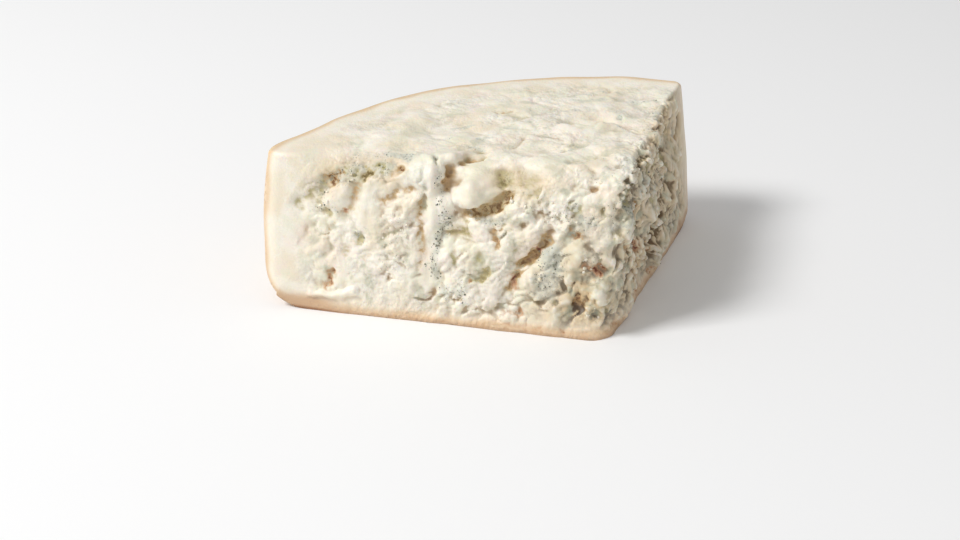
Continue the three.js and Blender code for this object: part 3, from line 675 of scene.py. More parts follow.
def cube_surface(n, m):
    """Shared points (a, b, c) and quads of a cube's surface, n x n x m cells."""
    def key(i, j, k):
        return (i * (n + 1) + j) * (m + 1) + k

    def cells(count_1, count_2):
        u, v = np.meshgrid(np.arange(count_1), np.arange(count_2), indexing="ij")
        return u.ravel(), v.ravel()

    i, k = cells(n, m)
    zero, full = np.zeros_like(i), np.full_like(i, n)
    quads = [
        [key(i + 1, zero, k), key(i, zero, k), key(i, zero, k + 1), key(i + 1, zero, k + 1)],
        [key(zero, i, k), key(zero, i + 1, k), key(zero, i + 1, k + 1), key(zero, i, k + 1)],
        [key(full, i + 1, k), key(full, i, k), key(full, i, k + 1), key(full, i + 1, k + 1)],
        [key(i, full, k), key(i + 1, full, k), key(i + 1, full, k + 1), key(i, full, k + 1)],
    ]
    i, j = cells(n, n)
    low, high = np.zeros_like(i), np.full_like(i, m)
    quads += [
        [key(i, j, high), key(i, j + 1, high), key(i + 1, j + 1, high), key(i + 1, j, high)],
        [key(i, j, low), key(i + 1, j, low), key(i + 1, j + 1, low), key(i, j + 1, low)],
    ]
    stacked = np.concatenate([np.stack(q, 1) for q in quads])
    keys, index = np.unique(stacked, return_inverse=True)
    quads = index.reshape(-1, 4)
    a, b, c = keys // ((n + 1) * (m + 1)), keys // (m + 1) % (n + 1), keys % (m + 1)
    return a / n, b / n, c / m, quads


def vertex_normals(points, quads):
    """Outward directions at the points, from the faces around each."""
    across = points[quads[:, 2]] - points[quads[:, 0]]
    down = points[quads[:, 3]] - points[quads[:, 1]]
    face = np.cross(across, down)
    total = np.stack([np.bincount(quads.ravel(), np.repeat(face[:, k], 4), len(points))
                      for k in range(3)], 1)
    return unit(total)


def averaged(values, edges, rounds):
    """Values at the points, each round blended with those of the neighbours."""
    ends = np.concatenate([edges[:, 0], edges[:, 1]])
    others = np.concatenate([edges[:, 1], edges[:, 0]])
    count = np.bincount(ends, minlength=len(values))[:, None]
    values = values.reshape(len(values), -1)
    for _ in range(rounds):
        near = np.stack([np.bincount(ends, values[others, k], len(values))
                         for k in range(values.shape[1])], 1) / count
        values = 0.5 * (values + near)
    return values


a, b, c, quads = cube_surface(CELLS_ALONG, CELLS_UP)
edges = np.unique(np.sort(np.concatenate(
    [quads[:, [0, 1]], quads[:, [1, 2]], quads[:, [2, 3]], quads[:, [3, 0]]]), 1), axis=0)
cell_size = WHEEL_RADIUS / CELLS_ALONG
form = form_points(a, b, c)
plain_normals = vertex_normals(form, quads)


def rounds_for(width):
    """Rounds of averaging that blur over a width in millimetres."""
    return int(round(2 * (width / cell_size) ** 2))


# How deep each point lies under the skin, and which side of the wedge it is on.
form_height = form[:, 2]
form_normals = unit(averaged(plain_normals, edges, rounds_for(2.0)))
from_axis = np.hypot(form[:, 0], form[:, 1])
from_rind = WHEEL_RADIUS - from_axis
degrees = np.degrees(np.arctan2(form[:, 0], form[:, 1]))
rind_depth = rind_radius(degrees, c) - from_axis
rim_side = np.maximum(RIM_ROUNDING - rind_depth, 0)
rim_below = np.maximum(RIM_ROUNDING - form_height, 0)
under_skin = np.minimum(np.minimum(rind_depth, form_height),
                        RIM_ROUNDING - np.hypot(rim_side, rim_below))
under_skin = under_skin + 2.0 * waves(form, size=13.0, seed=111) * smoothstep(0, 3, under_skin)
near_foot = smoothstep(0, FOOT_BAND, form_height)
on_top = smoothstep(*FACES_UP, form_normals[:, 2])
on_right = smoothstep(*FACES_RIGHT, form_normals @ RIGHTWARD)

# The relief that the solid has too: swells, folds, lumps and the placed streaks.
torn = smoothstep(2, CREAM_BAND, from_rind)
warped = drawn_out(shifted(form, reach=6.0, size=19.0, seed=71), stretch=1.7)
placed, smooth, stain = streak_relief(
    shifted(form, reach=2.5, size=9.0, seed=75), full_depth=6.0,
    left=LEFT_TEARS, right=RIGHT_TEARS, top=TOP_TEARS)
open_folds = smoothstep(-0.15, 0.3, waves(form, size=26.0, seed=79))
tearing_share = lerp(1, TOP_SMEAR, on_top) * lerp(1, RIGHT_TEAR, on_right)
tearing_share *= lerp(OUTER_TEAR, 1, smoothstep(*OUTER_BAND, from_rind))
tearing = (SWELL_HEIGHT * waves(form, SWELL_SIZE, seed=5)
           + FOLD_HEIGHT * open_folds * (folds(warped, FOLD_SIZE, seed=3, sharpness=0.2) - 0.65)
           + LUMP_HEIGHT * waves(warped, LUMP_SIZE, seed=7))
rind_wave = RIND_WAVE_HEIGHT * waves(form, RIND_WAVE_SIZE, seed=9)
relief = lerp(FOOT_SHARE, 1, near_foot) * (
    torn * tearing_share * tearing + (1 - torn) * rind_wave + placed)
push = form_normals * relief[:, None]
push[:, 2] -= SAG * np.maximum(relief, 0) * (1 - np.abs(form_normals[:, 2]))
push[:, 2] *= near_foot
shape = form + push


def with_relief(points, height):
    """Points pushed out by a height, which fades at the foot so that it stays flat."""
    normals = vertex_normals(points, quads)
    moved = points + normals * (height * near_foot)[:, None]
    moved[:, 2] -= FINE_SAG * near_foot * np.maximum(height, 0) * (1 - np.abs(normals[:, 2]))
    moved[:, 2] = np.where(points[:, 2] <= 1e-6, points[:, 2], np.maximum(moved[:, 2], 0))
    return moved


# Where the paste is rough, and how lively its finer tearing is: calm on the smeared top but
# for the strip beside the right cut, and livelier towards the tip and on the right cut.
nicks, nicks_smooth, nicks_stain_and_shade = streak_relief(
    shifted(form, reach=1.4, size=4.0, seed=78), full_depth=2.4,
    left=LEFT_NICKS, right=RIGHT_NICKS, top=TOP_NICKS)
track, track_smooth, track_stain_and_shade = streak_relief(
    shifted(form, reach=0.7, size=8.0, seed=97), full_depth=6.0, left=NEEDLE_TRACK)
smooth = np.maximum(smooth, np.maximum(nicks_smooth, track_smooth))
stain = np.maximum(stain, np.maximum(nicks_stain_and_shade, 0.5 * track_stain_and_shade))
ragged = smoothstep(-0.15, 0.2, waves(form, size=16.0, seed=31))
towards_middle = smoothstep(-70, 10, form[:, 0])
calm_top = lerp(0.5, 0.85, smoothstep(-0.15, 0.3, waves(form, size=25.0, seed=33)
                                     + 0.35 * (towards_middle - 0.5)))
from_right_cut = WHEEL_RADIUS * a
near_right = smoothstep(30, 6, from_right_cut + 12 * waves(form, size=19.0, seed=35))
calm_top = lerp(calm_top, 1.2, near_right)
rough = torn * (1 - smooth) * lerp(1, calm_top, on_top)
liveliness = lerp(0.4, 0.75, smoothstep(*OUTER_BAND, from_rind)) * lerp(1, 1.8, on_right)

# Chips, folds and flakes of 5 to 12 mm on the cuts, broader smeared dabs on the top.
finer = drawn_out(shifted(form, reach=3.0, size=8.0, seed=81), stretch=1.5)
height = 2.2 * (chips(finer, size=6.5, seed=151) - 0.55) * lerp(0.6, 1, ragged)
height += 1.1 * (folds(finer, size=7.5, seed=41, sharpness=0.25) - 0.55) * lerp(0.5, 1, ragged)
height += 1.6 * flakes(finer, size=12.0, seed=47, steps=3.0) * lerp(0.5, 1, ragged)
height += 0.7 * waves(finer, size=4.6, seed=45) * lerp(0.4, 1, ragged)
smeared = shifted(form, reach=4.0, size=11.0, seed=181)
dabs = 2.0 * (folds(smeared, size=14.0, seed=171, sharpness=0.35) - 0.6)
dabs = dabs + 1.8 * flakes(smeared, size=17.0, seed=173, steps=2.5)
dabs += 1.6 * waves(smeared, size=8.5, seed=175) + 0.9 * waves(smeared, size=5.0, seed=177)
height = lerp(height, 1.2 * dabs * lerp(0.5, 1, ragged), on_top * lerp(1, 0.4, near_right))
shape = with_relief(shape, liveliness * rough * height + (nicks + track))

# The mould, with thin veins between its patches, and the crumbs that the paste falls into.
mould, crumbly = mould_cover(shifted(form, reach=2.5, size=6.0, seed=91),
                             left=LEFT_MOULD, right=RIGHT_MOULD, top=TOP_MOULD)
vein = np.exp(-np.abs(waves(warped, size=24.0, seed=61)) / 0.035)
vein *= smoothstep(0.0, 0.35, waves(form, size=21.0, seed=63)) * torn
mould = np.clip(mould + 0.5 * vein, 0, 1)
clods = lumps(shifted(form, reach=1.5, size=3.5, seed=93), size=5.0, seed=59)
crumbs = lumps(shifted(form, reach=0.6, size=1.6, seed=95), size=2.3, seed=57)
crumbly = crumbly * lerp(1, 0.4, on_top) * smoothstep(2, 6, form_height)

# The finest tearing, of 2 to 5 mm.
finest = drawn_out(shifted(form, reach=1.2, size=3.5, seed=85), stretch=1.3)
height = 0.8 * (chips(finest, size=3.3, seed=161) - 0.55)
height += 0.3 * (folds(finest, size=3.4, seed=51, sharpness=0.22) - 0.6)
height += 0.5 * flakes(finest, size=5.5, seed=49, steps=2.0)
height += 0.25 * waves(finest, size=2.2, seed=53) + 0.1 * waves(form, size=1.5, seed=55)
height *= lerp(0.4, 1, ragged) * liveliness * lerp(1, 0.5, on_top * (1 - near_right))
height = rough * height + crumbly * (0.6 * (crumbs - 0.7) + 0.9 * (clods - 0.6))
shape = with_relief(shape, height)

# The wedge fills the solid's box.
low, high = shape.min(0), shape.max(0)
box_low, box_high = (np.array(corner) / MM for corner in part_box("gorgonzola_wedge"))
fit = (box_high - box_low) / (high - low)
shape = box_low + (shape - low) * fit
wheel_axis = (box_low - low * fit) * MM

mesh = bpy.data.meshes.new("gorgonzola_paste")
mesh.from_pydata((shape * MM).tolist(), [], quads.tolist())
mesh.validate()


def add_attribute(name, values):
    layer = mesh.attributes.new(name, "FLOAT", "POINT")
    layer.data.foreach_set("value", np.asarray(values, np.float32).ravel())


def hollowness(width):
    """How far the surface lies below its surroundings within a width, in millimetres."""
    around = averaged(shape, edges, rounds_for(width))
    return ((around - shape) * vertex_normals(shape, quads)).sum(1)


def near_left(path, low, high):
    """0 beyond a distance low from a path on the left cut, rising to 1 within high."""
    away = distance_to(form, [place_on("left", spot) for spot in path])
    return smoothstep(low, high, away)


add_attribute("hollow", hollowness(1.0) * 2.4 + hollowness(3.5) * 0.8 + hollowness(7.0) * 0.5)
add_attribute("rough", rough)
add_attribute("mould", mould)
add_attribute("grit", crumbly * smoothstep(0.75, 0.1, crumbs))

# Stains and painted shade from the stain tables.
stain_spots, stain_tone = stain_and_shade_cover(shifted(form, reach=1.4, size=4.0, seed=78),
                                      left=LEFT_STAINS_AND_SHADE, right=RIGHT_STAINS_AND_SHADE, top=TOP_STAINS_AND_SHADE)
# Hollows of the placed crevices darken the paste: partly whey stain and partly painted shade.
add_attribute("stain", stain)
add_attribute("stain_spots", stain_spots)
add_attribute("stain_tone", stain_tone)

# The rind: its depth under the skin, the shelf at the foot, whose brown is partly rind and
# partly painted shade, and the browned upper rim, whose lower edge runs unevenly. The line along
# the foot is painted brown too.
add_attribute("rind_depth", under_skin)
add_attribute("shelf", smoothstep(*SHELF_HEIGHT, form_height) * smoothstep(*SHELF_REACH, from_rind)
              + smoothstep(*FOOT_LINE, form_height) * (form_normals[:, 2] > FACES_DOWN))
past_corner = smoothstep(*BROWN_RIM_ENDS, np.minimum(a, b))
rim_height = form_height + 2.2 * waves(form, size=8.0, seed=191)
rim_height = rim_height + 0.8 * waves(form, size=2.6, seed=193)
tan_rim = smoothstep(*TAN_RIM_DEPTH, rind_depth) * smoothstep(*TAN_RIM_HEIGHT, form_height)
brown_rim = smoothstep(*BROWN_RIM_DEPTH, rind_depth) * smoothstep(*BROWN_RIM_HEIGHT, rim_height)
add_attribute("top_rim", tan_rim + brown_rim * past_corner)

# Painted shade: full at the low tip, strong on the right cut, which faces away from the lamp, and
# weaker on the two patches of the left cut.
low_tip = smoothstep(*SHADED_TIP, np.maximum(a, b)) * smoothstep(*SHADED_TIP_HEIGHT, form_height)
dry = np.maximum(SHADE_ON_RIGHT * on_right, low_tip)
for path in SHADED_PATHS:
    dry = np.maximum(dry, SHADED_SHARE * near_left(path, *SHADED_REACH))
add_attribute("dry", dry)

# Where crumbs of curd lie, and where grains of mould stand.
patches = smoothstep(-0.25, 0.25, waves(form, size=5.0, seed=99))
rows = np.zeros(len(form))
for path, reach in MOULD_ROWS.values():
    rows = np.maximum(rows, near_left(path, reach, 0.5 * reach))
rows *= lerp(1, ROWS_ABOVE, smoothstep(*ROWS_THIN, form_height))
broken = smoothstep(*CRUMBLED, crumbly)
spots = MOULD_ON_CRUMBS * smoothstep(0.2, 0.9, mould) * patches * broken
add_attribute("crumb_spots", crumbly * patches)
add_attribute("mould_spots", np.maximum(spots, rows))

wedge = bpy.data.objects.new("gorgonzola_paste", mesh)
bpy.context.collection.objects.link(wedge)


def add_node(tree, kind, values=None, **settings):
    """A shader node with its settings made and its inputs set or linked."""
    node = tree.nodes.new(kind)
    for name, value in settings.items():
        setattr(node, name, value)
    for name, value in (values or {}).items():
        if isinstance(value, bpy.types.NodeSocket):
            tree.links.new(value, node.inputs[name])
        else:
            node.inputs[name].default_value = value
    return node


def linear(red, green, blue):
    """A screen colour of 0 to 255 as a linear colour."""
    steps = [v / 255 for v in (red, green, blue)]
    return [*(v / 12.92 if v <= 0.04045 else ((v + 0.055) / 1.055) ** 2.4 for v in steps), 1]


def mix(factor, first, second):
    """The first colour where the factor is 0, the second where it is 1."""
    node = add_node(factor.id_data, "ShaderNodeMix", data_type="RGBA")
    for socket, value in ((node.inputs[0], factor), (node.inputs[6], first),
                          (node.inputs[7], second)):
        if isinstance(value, bpy.types.NodeSocket):
            factor.id_data.links.new(value, socket)
        else:
            socket.default_value = value
    return node.outputs[2]


def ramp(value, low, high, top=1.0):
    """0 below low, rising smoothly to top above high."""
    node = add_node(value.id_data, "ShaderNodeMapRange", {
        "Value": value, "From Min": low, "From Max": high, "To Max": top},
        interpolation_type="SMOOTHSTEP")
    return node.outputs[0]


def maths(operation, first, second):
    node = add_node(first.id_data, "ShaderNodeMath", {0: first, 1: second}, operation=operation)
    return node.outputs[0]


def product(first, second):
    return maths("MULTIPLY", first, second)


def reading(tree, name):
    """The values of a named attribute of the mesh."""
    return add_node(tree, "ShaderNodeAttribute", attribute_name=name).outputs["Fac"]


def grain(place, per_metre, detail=2.0):
    """Cloudy noise around 0.5, with so many patches to the metre."""
    node = add_node(place.id_data, "ShaderNodeTexNoise",
                    {"Vector": place, "Scale": per_metre, "Detail": detail})
    return node.outputs[0]


def new_finish(name):
    """A new material, its node tree, its shader and the places on the piece."""
    material = bpy.data.materials.new(name)
    material.use_nodes = True
    tree = material.node_tree
    place = add_node(tree, "ShaderNodeTexCoord").outputs["Object"]
    return material, tree, tree.nodes["Principled BSDF"], place


def let_light_in(shader):
    """Light enters the fat paste by about a millimetre, red the furthest."""
    shader.inputs["Subsurface Weight"].default_value = 0.18
    shader.inputs["Subsurface Radius"].default_value = (1.0, 0.65, 0.35)
    shader.inputs["Subsurface Scale"].default_value = 0.0011


CREAM = linear(251, 244, 229)
WARM_CREAM = linear(242, 230, 207)
BUTTER = linear(242, 229, 199)
PINK_CREAM = linear(247, 231, 219)
GREEN_CREAM = linear(235, 234, 210)
CREVICE_SHADE = linear(164, 130, 84)
OLIVE_CREVICE_SHADE = linear(156, 144, 94)
DEEP_STAIN_AND_SHADE = linear(176, 128, 90)
OLIVE_FILM_AND_SHADE = linear(198, 189, 144)
BROWN_FILM_AND_SHADE = linear(204, 172, 126)
RED_FILM = linear(208, 162, 124)
OLIVE_STAIN_AND_SHADE = linear(126, 116, 66)
BROWN_STAIN_AND_SHADE = linear(126, 86, 46)
RED_STAIN = linear(112, 56, 34)
SHADED_PASTE = linear(212, 184, 137)
SHADED_CREVICE = linear(94, 66, 38)
MOULD_HAZE = linear(201, 205, 193)
MOULD_SPECK = linear(128, 130, 114)
GREY_GREEN = linear(196, 196, 172)
RIND_EDGE = linear(225, 194, 155)
RIND_GLOW = linear(247, 234, 212)
RIND_SKIN = linear(222, 188, 150)
RIND_BLOOM = linear(235, 214, 184)
RIM_SKIN = linear(232, 204, 158)
RIND_BROWN = linear(196, 154, 112)
RIM_BROWN = linear(156, 116, 74)
SHELF_SKIN_AND_SHADE = linear(204, 170, 136)
SHELF_BROWN = linear(150, 98, 60)

# Tints that drift through the cream: the colour, its patches to the metre, how broken up they
# are, the noise where they start and where they are full, and their strength.
TINTS = (
    (WARM_CREAM, 55, 2.0, 0.4, 0.65, 1.0),
    (BUTTER, 210, 2.0, 0.5, 0.75, 0.5),
    (PINK_CREAM, 83, 3.0, 0.5, 0.66, 0.5),
    (GREEN_CREAM, 71, 3.0, 0.5, 0.36, 0.5),
)

paste, tree, shader, place = new_finish("cream_paste")
hollow = reading(tree, "hollow")
rough_paste = reading(tree, "rough")
painted_shade_share = reading(tree, "dry")
blue = reading(tree, "mould")
depth = reading(tree, "rind_depth")

colour = CREAM
for tint, per_metre, detail, start, full, strength in TINTS:
    drift = ramp(grain(place, per_metre, detail), start, full, strength)
    colour = mix(drift, colour, tint)

# Painted shade: shaded paste is painted tan but for its raised parts, crevices are painted olive
# to brown shade, and crevices in the shaded parts a darker brown.
not_raised = ramp(hollow, -2.8, -0.2, 0.9)
colour = mix(product(not_raised, painted_shade_share), colour, SHADED_PASTE)
crevice = mix(ramp(grain(place, 60), 0.42, 0.58), CREVICE_SHADE, OLIVE_CREVICE_SHADE)
colour = mix(ramp(hollow, -0.1, 2.6, 0.85), colour, crevice)
shaded_crevice = product(ramp(hollow, -0.5, 1.5), painted_shade_share)
colour = mix(shaded_crevice, colour, SHADED_CREVICE)
# Deep hollows turn brown: partly whey stain and partly painted shade.
deep = product(ramp(hollow, 0.8, 6.0), reading(tree, "stain"))
colour = mix(ramp(deep, 0.0, 0.8, 0.65), colour, DEEP_STAIN_AND_SHADE)

# Mould: a faint cloud and small marks on rough paste, and a haze with specks where it grows.
cloud = ramp(grain(place, 38, 3.0), 0.5, 0.7, 0.35)
colour = mix(product(cloud, rough_paste), colour, MOULD_HAZE)
marks = ramp(grain(place, 135, 4.0), 0.53, 0.68, 0.75)
colour = mix(product(marks, rough_paste), colour, GREY_GREEN)
colour = mix(ramp(blue, 0.15, 0.9, 0.7), colour, MOULD_HAZE)
patchy = product(blue, ramp(grain(place, 240), 0.3, 0.7, 0.2))
speckle = maths("ADD", grain(place, 1000, 3.0), patchy)
speckle = maths("ADD", speckle, product(reading(tree, "grit"), 0.1))
specks = product(ramp(speckle, 0.64, 0.85, 0.8), ramp(blue, 0.02, 0.2))
colour = mix(specks, colour, MOULD_SPECK)

# The rind: cream that yellows towards it, its mottled skin, its upper rim, and its foot, whose
# tan and brown stand partly for rind and partly for painted shade.
colour = mix(ramp(depth, 12.0, 2.0, 0.8), colour, RIND_GLOW)
colour = mix(ramp(depth, 6.0, 2.0, 0.9), colour, RIND_EDGE)
skin = mix(ramp(grain(place, 90, 4.0), 0.35, 0.65), RIND_SKIN, RIND_BLOOM)
skin = mix(ramp(grain(place, 330, 4.0), 0.5, 0.66, 0.6), skin, RIND_BROWN)
colour = mix(ramp(depth, 3.2, 1.0), colour, skin)
rim = reading(tree, "top_rim")
colour = mix(ramp(rim, 0.0, 1.0, 0.8), colour, RIM_SKIN)
uneven_rim = maths("ADD", ramp(grain(place, 110, 4.0), 0.38, 0.62, 0.7), 0.2)
colour = mix(product(ramp(rim, 0.9, 1.8), uneven_rim), colour, RIM_BROWN)
shelf = reading(tree, "shelf")
colour = mix(ramp(shelf, 0.0, 1.0, 0.9), colour, SHELF_SKIN_AND_SHADE)
colour = mix(ramp(shelf, 1.0, 2.0, 0.8), colour, SHELF_BROWN)

# Whey stains and the painted shade of the stain tables, broken up by their grain and strongest
# in creases: a film where thin, and darker where thick.
tone = reading(tree, "stain_tone")
uneven_stain_and_shade = ramp(grain(place, 480, 4.0), 0.3, 0.6)
in_crease = maths("ADD", ramp(hollow, -0.6, 1.6, 0.8), 0.2)
stain_and_shade_amount = product(product(reading(tree, "stain_spots"), uneven_stain_and_shade), in_crease)
thin_stain_and_shade = mix(ramp(tone, 0.0, 0.5), OLIVE_FILM_AND_SHADE, BROWN_FILM_AND_SHADE)
thin_stain_and_shade = mix(ramp(tone, 0.5, 1.0), thin_stain_and_shade, RED_FILM)
thick_stain_and_shade = mix(ramp(tone, 0.0, 0.5), OLIVE_STAIN_AND_SHADE, BROWN_STAIN_AND_SHADE)
thick_stain_and_shade = mix(ramp(tone, 0.5, 1.0), thick_stain_and_shade, RED_STAIN)
colour = mix(ramp(stain_and_shade_amount, 0.0, 0.5, 0.95), colour, thin_stain_and_shade)
colour = mix(ramp(stain_and_shade_amount, 0.35, 0.95), colour, thick_stain_and_shade)
tree.links.new(colour, shader.inputs["Base Color"])

# Moist paste shines a little, mouldy paste less. Its grain is granular where it tore, fine
# elsewhere, and leathery on the rind.
roughness = maths("ADD", ramp(blue, 0.0, 0.6, 0.2), 0.42)
tree.links.new(roughness, shader.inputs["Roughness"])
granules = add_node(tree, "ShaderNodeTexVoronoi",
                    {"Vector": place, "Scale": 520, "Smoothness": 0.5}, feature="SMOOTH_F1")
granular = maths("SUBTRACT", grain(place, 420, 4.0), product(granules.outputs["Distance"], 0.35))
torn_grain = product(rough_paste, ramp(grain(place, 75), 0.35, 0.6, 0.8))
rind_grain = ramp(depth, 2.0, 0.5, 0.4)
strength = maths("ADD", maths("ADD", torn_grain, rind_grain), 0.1)
coarse_bump = add_node(tree, "ShaderNodeBump",
                       {"Height": granular, "Distance": 0.0011, "Strength": strength})
fine_bump = add_node(tree, "ShaderNodeBump", {
    "Height": grain(place, 1100, 3.0), "Distance": 0.0004, "Strength": 0.6,
    "Normal": coarse_bump.outputs[0]})
tree.links.new(fine_bump.outputs[0], shader.inputs["Normal"])
let_light_in(shader)
mesh.materials.append(paste)

# Flat and gently curved parts need fewer triangles than the torn ones.
thinning = wedge.modifiers.new("thinning", "DECIMATE")
thinning.ratio = min(1.0, MOST_TRIANGLES / (2 * len(quads)))
evaluated = wedge.evaluated_get(bpy.context.evaluated_depsgraph_get())
mesh = bpy.data.meshes.new_from_object(evaluated)
wedge.modifiers.remove(thinning)
wedge.data = mesh
mesh.shade_smooth()

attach(wedge, "root")
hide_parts("gorgonzola_wedge")

# ---- Curd crumbs and mould grains ---------------------------------------------------
# Where the mould has eaten into the paste it falls apart into crumbs of curd. The mould itself
# stands on the paste as small grey-green cushions, thickest along the needle's track and in
# the blue patch. Sizes here are in metres.

SPOT_LEAN, SPOT_TURN = 0.5, 3.14       # radians either way, off the paste and about its normal


def scatter_tree(name):
    """Scatters one small uneven shape over a surface where an attribute says so."""
    group = bpy.data.node_groups.new(name, "GeometryNodeTree")
    interface = group.interface
    interface.new_socket("Geometry", in_out="INPUT", socket_type="NodeSocketGeometry")
    for label, kind in (("Where", "NodeSocketString"), ("Per Square Metre", "NodeSocketFloat"),
                        ("Smallest", "NodeSocketFloat"), ("Largest", "NodeSocketFloat"),
                        ("Flatness", "NodeSocketFloat"), ("Unevenness", "NodeSocketFloat"),
                        ("Subdivisions", "NodeSocketInt"), ("Seed", "NodeSocketInt"),
                        ("Material", "NodeSocketMaterial")):
        interface.new_socket(label, in_out="INPUT", socket_type=kind)
    interface.new_socket("Geometry", in_out="OUTPUT", socket_type="NodeSocketGeometry")
    given = group.nodes.new("NodeGroupInput").outputs

    ball = add_node(group, "GeometryNodeMeshIcoSphere", {"Subdivisions": given["Subdivisions"]})
    noise = add_node(group, "ShaderNodeTexNoise", {"Scale": 1.3, "Detail": 1.0})
    offset = add_node(group, "ShaderNodeVectorMath", {0: noise.outputs["Color"], 1: (0.5,) * 3},
                      operation="SUBTRACT")
    offset = add_node(group, "ShaderNodeVectorMath",
                      {0: offset.outputs[0], "Scale": given["Unevenness"]}, operation="SCALE")
    lump = add_node(group, "GeometryNodeSetPosition",
                    {"Geometry": ball.outputs["Mesh"], "Offset": offset.outputs[0]})
    lump = add_node(group, "GeometryNodeSetShadeSmooth", {"Geometry": lump.outputs[0]})

    where = add_node(group, "GeometryNodeInputNamedAttribute", {"Name": given["Where"]},
                     data_type="FLOAT")
    density = product(where.outputs[0], given["Per Square Metre"])
    spots = add_node(group, "GeometryNodeDistributePointsOnFaces",
                     {"Mesh": given["Geometry"], "Density": density, "Seed": given["Seed"]})
    chance = add_node(group, "FunctionNodeRandomValue", {"Seed": given["Seed"]},
                      data_type="FLOAT").outputs[1]
    mostly_small = maths("POWER", chance, 3.0)
    size = add_node(group, "ShaderNodeMapRange", {
        "Value": mostly_small, "To Min": given["Smallest"], "To Max": given["Largest"]}).outputs[0]
    thickness = product(size, given["Flatness"])
    scale = add_node(group, "ShaderNodeCombineXYZ", {"X": size, "Y": size, "Z": thickness})
    spin = add_node(group, "FunctionNodeRandomValue", {
        0: (-SPOT_LEAN, -SPOT_LEAN, -SPOT_TURN), 1: (SPOT_LEAN, SPOT_LEAN, SPOT_TURN),
        "Seed": given["Seed"]}, data_type="FLOAT_VECTOR")
    spin = add_node(group, "FunctionNodeEulerToRotation", {"Euler": spin.outputs[0]})
    turned = add_node(group, "FunctionNodeRotateRotation", {
        "Rotation": spots.outputs["Rotation"], "Rotate By": spin.outputs[0]},
        rotation_space="LOCAL")
    placed_lumps = add_node(group, "GeometryNodeInstanceOnPoints", {
        "Points": spots.outputs["Points"], "Instance": lump.outputs[0],
        "Rotation": turned.outputs[0], "Scale": scale.outputs[0]})
    real = add_node(group, "GeometryNodeRealizeInstances", {"Geometry": placed_lumps.outputs[0]})
    made = add_node(group, "GeometryNodeSetMaterial",
                    {"Geometry": real.outputs[0], "Material": given["Material"]})
    result = group.nodes.new("NodeGroupOutput")
    group.links.new(made.outputs[0], result.inputs[0])
    return group


def scattered(name, group, material, **given):
    """A plain mesh of the lumps that a scatter tree lays on the wedge."""
    piece = bpy.data.objects.new(name, wedge.data.copy())
    bpy.context.collection.objects.link(piece)
    scatter = piece.modifiers.new("scatter", "NODES")
    scatter.node_group = group
    socket = {item.name: item.identifier for item in group.interface.items_tree
              if item.in_out == "INPUT"}
    scatter[socket["Material"]] = material
    for label, value in given.items():
        scatter[socket[label.replace("_", " ").title()]] = value
    made = piece.evaluated_get(bpy.context.evaluated_depsgraph_get())
    piece.data = bpy.data.meshes.new_from_object(made)
    piece.modifiers.remove(scatter)
    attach(piece, "root")
    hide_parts("gorgonzola_wedge")


curd, tree, shader, place = new_finish("curd_crumbs")
tint = mix(ramp(grain(place, 300), 0.35, 0.7), linear(247, 240, 223), linear(228, 214, 186))
tree.links.new(tint, shader.inputs["Base Color"])
shader.inputs["Roughness"].default_value = 0.6
let_light_in(shader)

grey_mould, tree, shader, place = new_finish("mould_grains")
tint = mix(ramp(grain(place, 400), 0.35, 0.65), linear(92, 94, 82), linear(168, 166, 146))
tree.links.new(tint, shader.inputs["Base Color"])
shader.inputs["Roughness"].default_value = 0.9

scatter_group = scatter_tree("scatter_on_paste")
scattered("curd_crumbs", scatter_group, curd, where="crumb_spots",
          per_square_metre=80000.0, smallest=0.0004, largest=0.0010, flatness=0.7,
          unevenness=1.8, subdivisions=2, seed=4)
scattered("mould_grains", scatter_group, grey_mould, where="mould_spots",
          per_square_metre=700000.0, smallest=0.00018, largest=0.00055, flatness=0.6,
          unevenness=1.2, subdivisions=1, seed=9)

# ---- Floor, light and camera --------------------------------------------------------
# A pale matt floor under an even white sky, with one large soft lamp high on the left and a
# weak one in front. The camera stands in front of the left cut and looks down on the wedge.

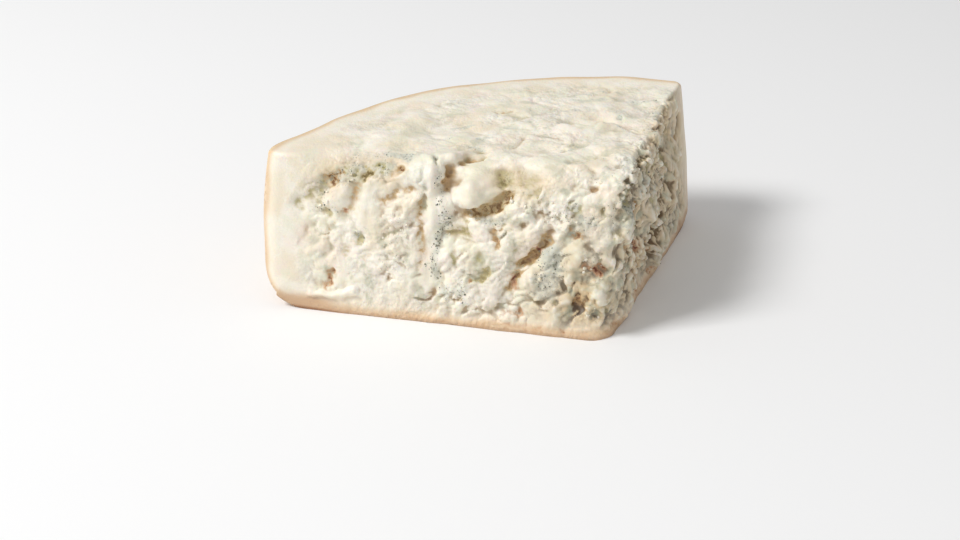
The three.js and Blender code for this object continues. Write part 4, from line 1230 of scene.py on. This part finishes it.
FLOOR_REACH = 3
CAMERA_TURN = math.radians(-27.2)
CAMERA_PITCH = 26.0
CAMERA_PLACE = Vector((-0.0512, -0.6161, 0.3366))      # from the wheel's axis, before the turn

corners = [(-1, -1), (1, -1), (1, 1), (-1, 1)]
floor_mesh = bpy.data.meshes.new("floor")
floor_mesh.from_pydata([(FLOOR_REACH * x, FLOOR_REACH * y, 0) for x, y in corners], [],
                       [(0, 1, 2, 3)])
floor = bpy.data.objects.new("floor", floor_mesh)
bpy.context.collection.objects.link(floor)
pale = bpy.data.materials.new("pale_floor")
pale.use_nodes = True
shader = pale.node_tree.nodes["Principled BSDF"]
shader.inputs["Base Color"].default_value = (0.94, 0.94, 0.94, 1)
shader.inputs["Roughness"].default_value = 0.8
floor_mesh.materials.append(pale)

bpy.context.scene.view_settings.view_transform = "Standard"
world = bpy.data.worlds.new("studio")
bpy.context.scene.world = world
world.use_nodes = True
sky = world.node_tree.nodes["Background"]
sky.inputs["Color"].default_value = (1, 1, 1, 1)
sky.inputs["Strength"].default_value = 0.44


def add_area(name, azimuth, elevation, distance, size, power):
    """A soft lamp that shines on the wedge from so many degrees round and up."""
    light = bpy.data.lights.new(name, "AREA")
    light.size = size
    light.energy = power
    item = bpy.data.objects.new(name, light)
    turn, rise = math.radians(azimuth), math.radians(elevation)
    item.location = (distance * math.sin(turn) * math.cos(rise),
                     -distance * math.cos(turn) * math.cos(rise), distance * math.sin(rise))
    item.rotation_euler = (-item.location).to_track_quat("-Z", "Y").to_euler()
    bpy.context.collection.objects.link(item)


add_area("key", azimuth=-98, elevation=49, distance=2.6, size=0.8, power=47)
add_area("fill", azimuth=-40, elevation=30, distance=1.6, size=1.2, power=0.6)

camera_data = bpy.data.cameras.new("camera")
camera_data.lens = 60
camera_data.sensor_width = 36
camera = bpy.data.objects.new("camera", camera_data)
bpy.context.collection.objects.link(camera)
bpy.context.scene.camera = camera
axis_at_floor = Vector((*wheel_axis[:2], 0))
camera.location = axis_at_floor + Matrix.Rotation(CAMERA_TURN, 3, "Z") @ CAMERA_PLACE
camera.rotation_euler = (math.radians(90 - CAMERA_PITCH), 0, CAMERA_TURN)
